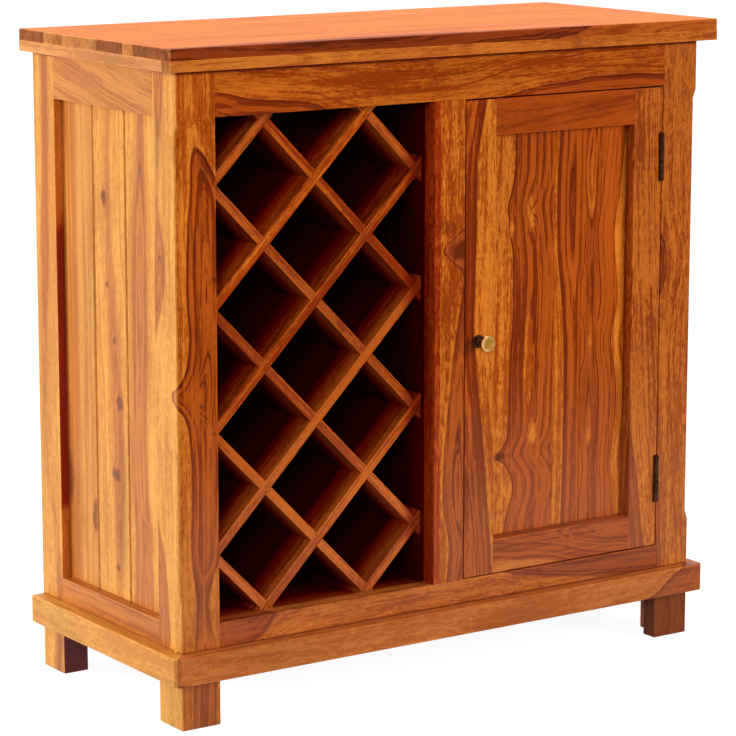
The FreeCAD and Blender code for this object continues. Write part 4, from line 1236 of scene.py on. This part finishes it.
head = (KNOB[0], spot_of("knob_screw", "y", HIGH), KNOB[2])
pan = [(0, 0), (2.6, 0.1), (3.8, 0.7), (4.2, 1.6), (4.2, 2.4), (2.0, 2.4), (2.0, 38.4), (1.2, 39.0),
       (0, 39.0)]
knob_screw = metal_piece("knob_screw_turned", turned(eased(pan, 0.3), FORWARD, head, 40), steel)
stand_in(cross_cut(knob_screw, head, FORWARD, 2.2, 0.9, 1.2), "door", "steel", "knob_screw")

peg_profile = [(0, 0), (2.5, 0), (PEG_RADIUS, 0.6), (PEG_RADIUS, PEG_LENGTH - 0.6),
               (2.5, PEG_LENGTH), (0, PEG_LENGTH)]
peg_left, peg_right = (spot_of("shelf_pegs", "x", end) for end in (LOW, HIGH))
peg_front, peg_back = (round(spot_of("shelf_pegs", "y", end)) for end in (LOW, HIGH))
peg_place = (peg_left, peg_front + PEG_RADIUS, spot_of("shelf_pegs", "z", MIDDLE))
peg = turned(eased(peg_profile, 0.3), (1, 0, 0), peg_place, 40)
pegs = in_rows(metal_piece("shelf_pegs_turned", peg, steel), 2,
               (0, peg_back - peg_front - 2 * PEG_RADIUS, 0), 2,
               (peg_right - peg_left - PEG_LENGTH, 0, 0))
stand_in(pegs, "cabinet", "steel", "shelf_pegs")

# %% [markdown]
# ## A small studio
#
# The photograph was lit from two sides: a broad soft light in front, a little to the right and low,
# so that the rack's cells go dark, and a strong one behind on the left, which rakes along the left
# side and leaves a narrow shadow beside the back post. A weak fill from the front left keeps the
# inner edges of the rack from going black, and one more lamp lights the top. The floor and the sky
# look white to the camera and to shiny surfaces, but light the cabinet only a little.

# %% Floor, world, lights and camera
WHITE = (1, 1, 1, 1)
FLOOR_PAINT = (0.25, 0.25, 0.25, 1)
AIM = (0, 0, 0.45)


def looking_rays(t):
    """1 for a ray from the camera or one that a shiny or clear surface passes on, else 0."""
    ray = t.wires("ShaderNodeLightPath")
    return t.largest(ray["Is Camera Ray"], ray["Is Glossy Ray"], ray["Is Transmission Ray"])


def stage_floor(size=14.0):
    mesh = bpy.data.meshes.new("floor")
    corners = [(-size, -size, 0), (size, -size, 0), (size, size, 0), (-size, size, 0)]
    mesh.from_pydata(corners, [], [(0, 1, 2, 3)])
    material, t = fresh(bpy.data.materials, "white studio floor")
    paint = t.wire("ShaderNodeBsdfDiffuse", {"Color": FLOOR_PAINT})
    away = t.vector("LENGTH", t.wire("ShaderNodeTexCoord", output="Object"), output="Value")
    glow = looking_rays(t) * t.fade(away, 0.7, 1.8, 0.92, 1.0)
    light = t.wire("ShaderNodeEmission", {"Color": WHITE, "Strength": glow})
    both = t.wire("ShaderNodeAddShader", {0: paint, 1: light})
    t.add("ShaderNodeOutputMaterial", {"Surface": both})
    mesh.materials.append(material)
    placed("floor", mesh)


def white_world(level):
    """A sky that looks white but lights the cabinet only at this level."""
    world, t = fresh(bpy.data.worlds, "studio")
    strength = looking_rays(t) * (1.0 - level) + level
    sky = t.wire("ShaderNodeBackground", {"Color": WHITE, "Strength": strength})
    t.add("ShaderNodeOutputWorld", {"Surface": sky})
    scene.world = world


def softbox(name, place, aim, width, height, power, mirrored=False):
    """A soft lamp; sizes in metres, power in watts; mirrored: shiny surfaces show it."""
    light = bpy.data.lights.new(name, "AREA")
    light.shape = "RECTANGLE"
    light.size, light.size_y = width, height
    light.energy = power
    lamp = placed(name, light)
    lamp.location = place
    lamp.rotation_euler = (Vector(aim) - Vector(place)).to_track_quat("-Z", "Y").to_euler()
    lamp.visible_glossy = mirrored


stage_floor()
white_world(0.3)
softbox("front softbox", (3.0, -4.6, 1.5), AIM, 2.2, 1.6, 172)
softbox("fill softbox", (-2.8, -3.6, 2.1), AIM, 1.8, 1.4, 72)
softbox("left softbox", (-3.2, 1.9, 0.85), (-0.43, 0, 0.5), 1.5, 1.5, 117)
softbox("top softbox", (0.1, 0.2, 2.8), (0, 0, 0.9), 1.4, 1.4, 50.5, mirrored=True)

# place, turn and lens as fitted to the photograph
camera = placed("camera", bpy.data.cameras.new("camera"))
camera.location = (-2.40656, -3.50974, 1.23110)
camera.rotation_euler = (math.radians(90 - 10.870), 0, math.radians(-34.273))
camera.data.lens = 149.712
camera.data.sensor_width = 36.0
camera.data.clip_end = 60.0
scene.camera = camera
scene.view_settings.view_transform = "Standard"
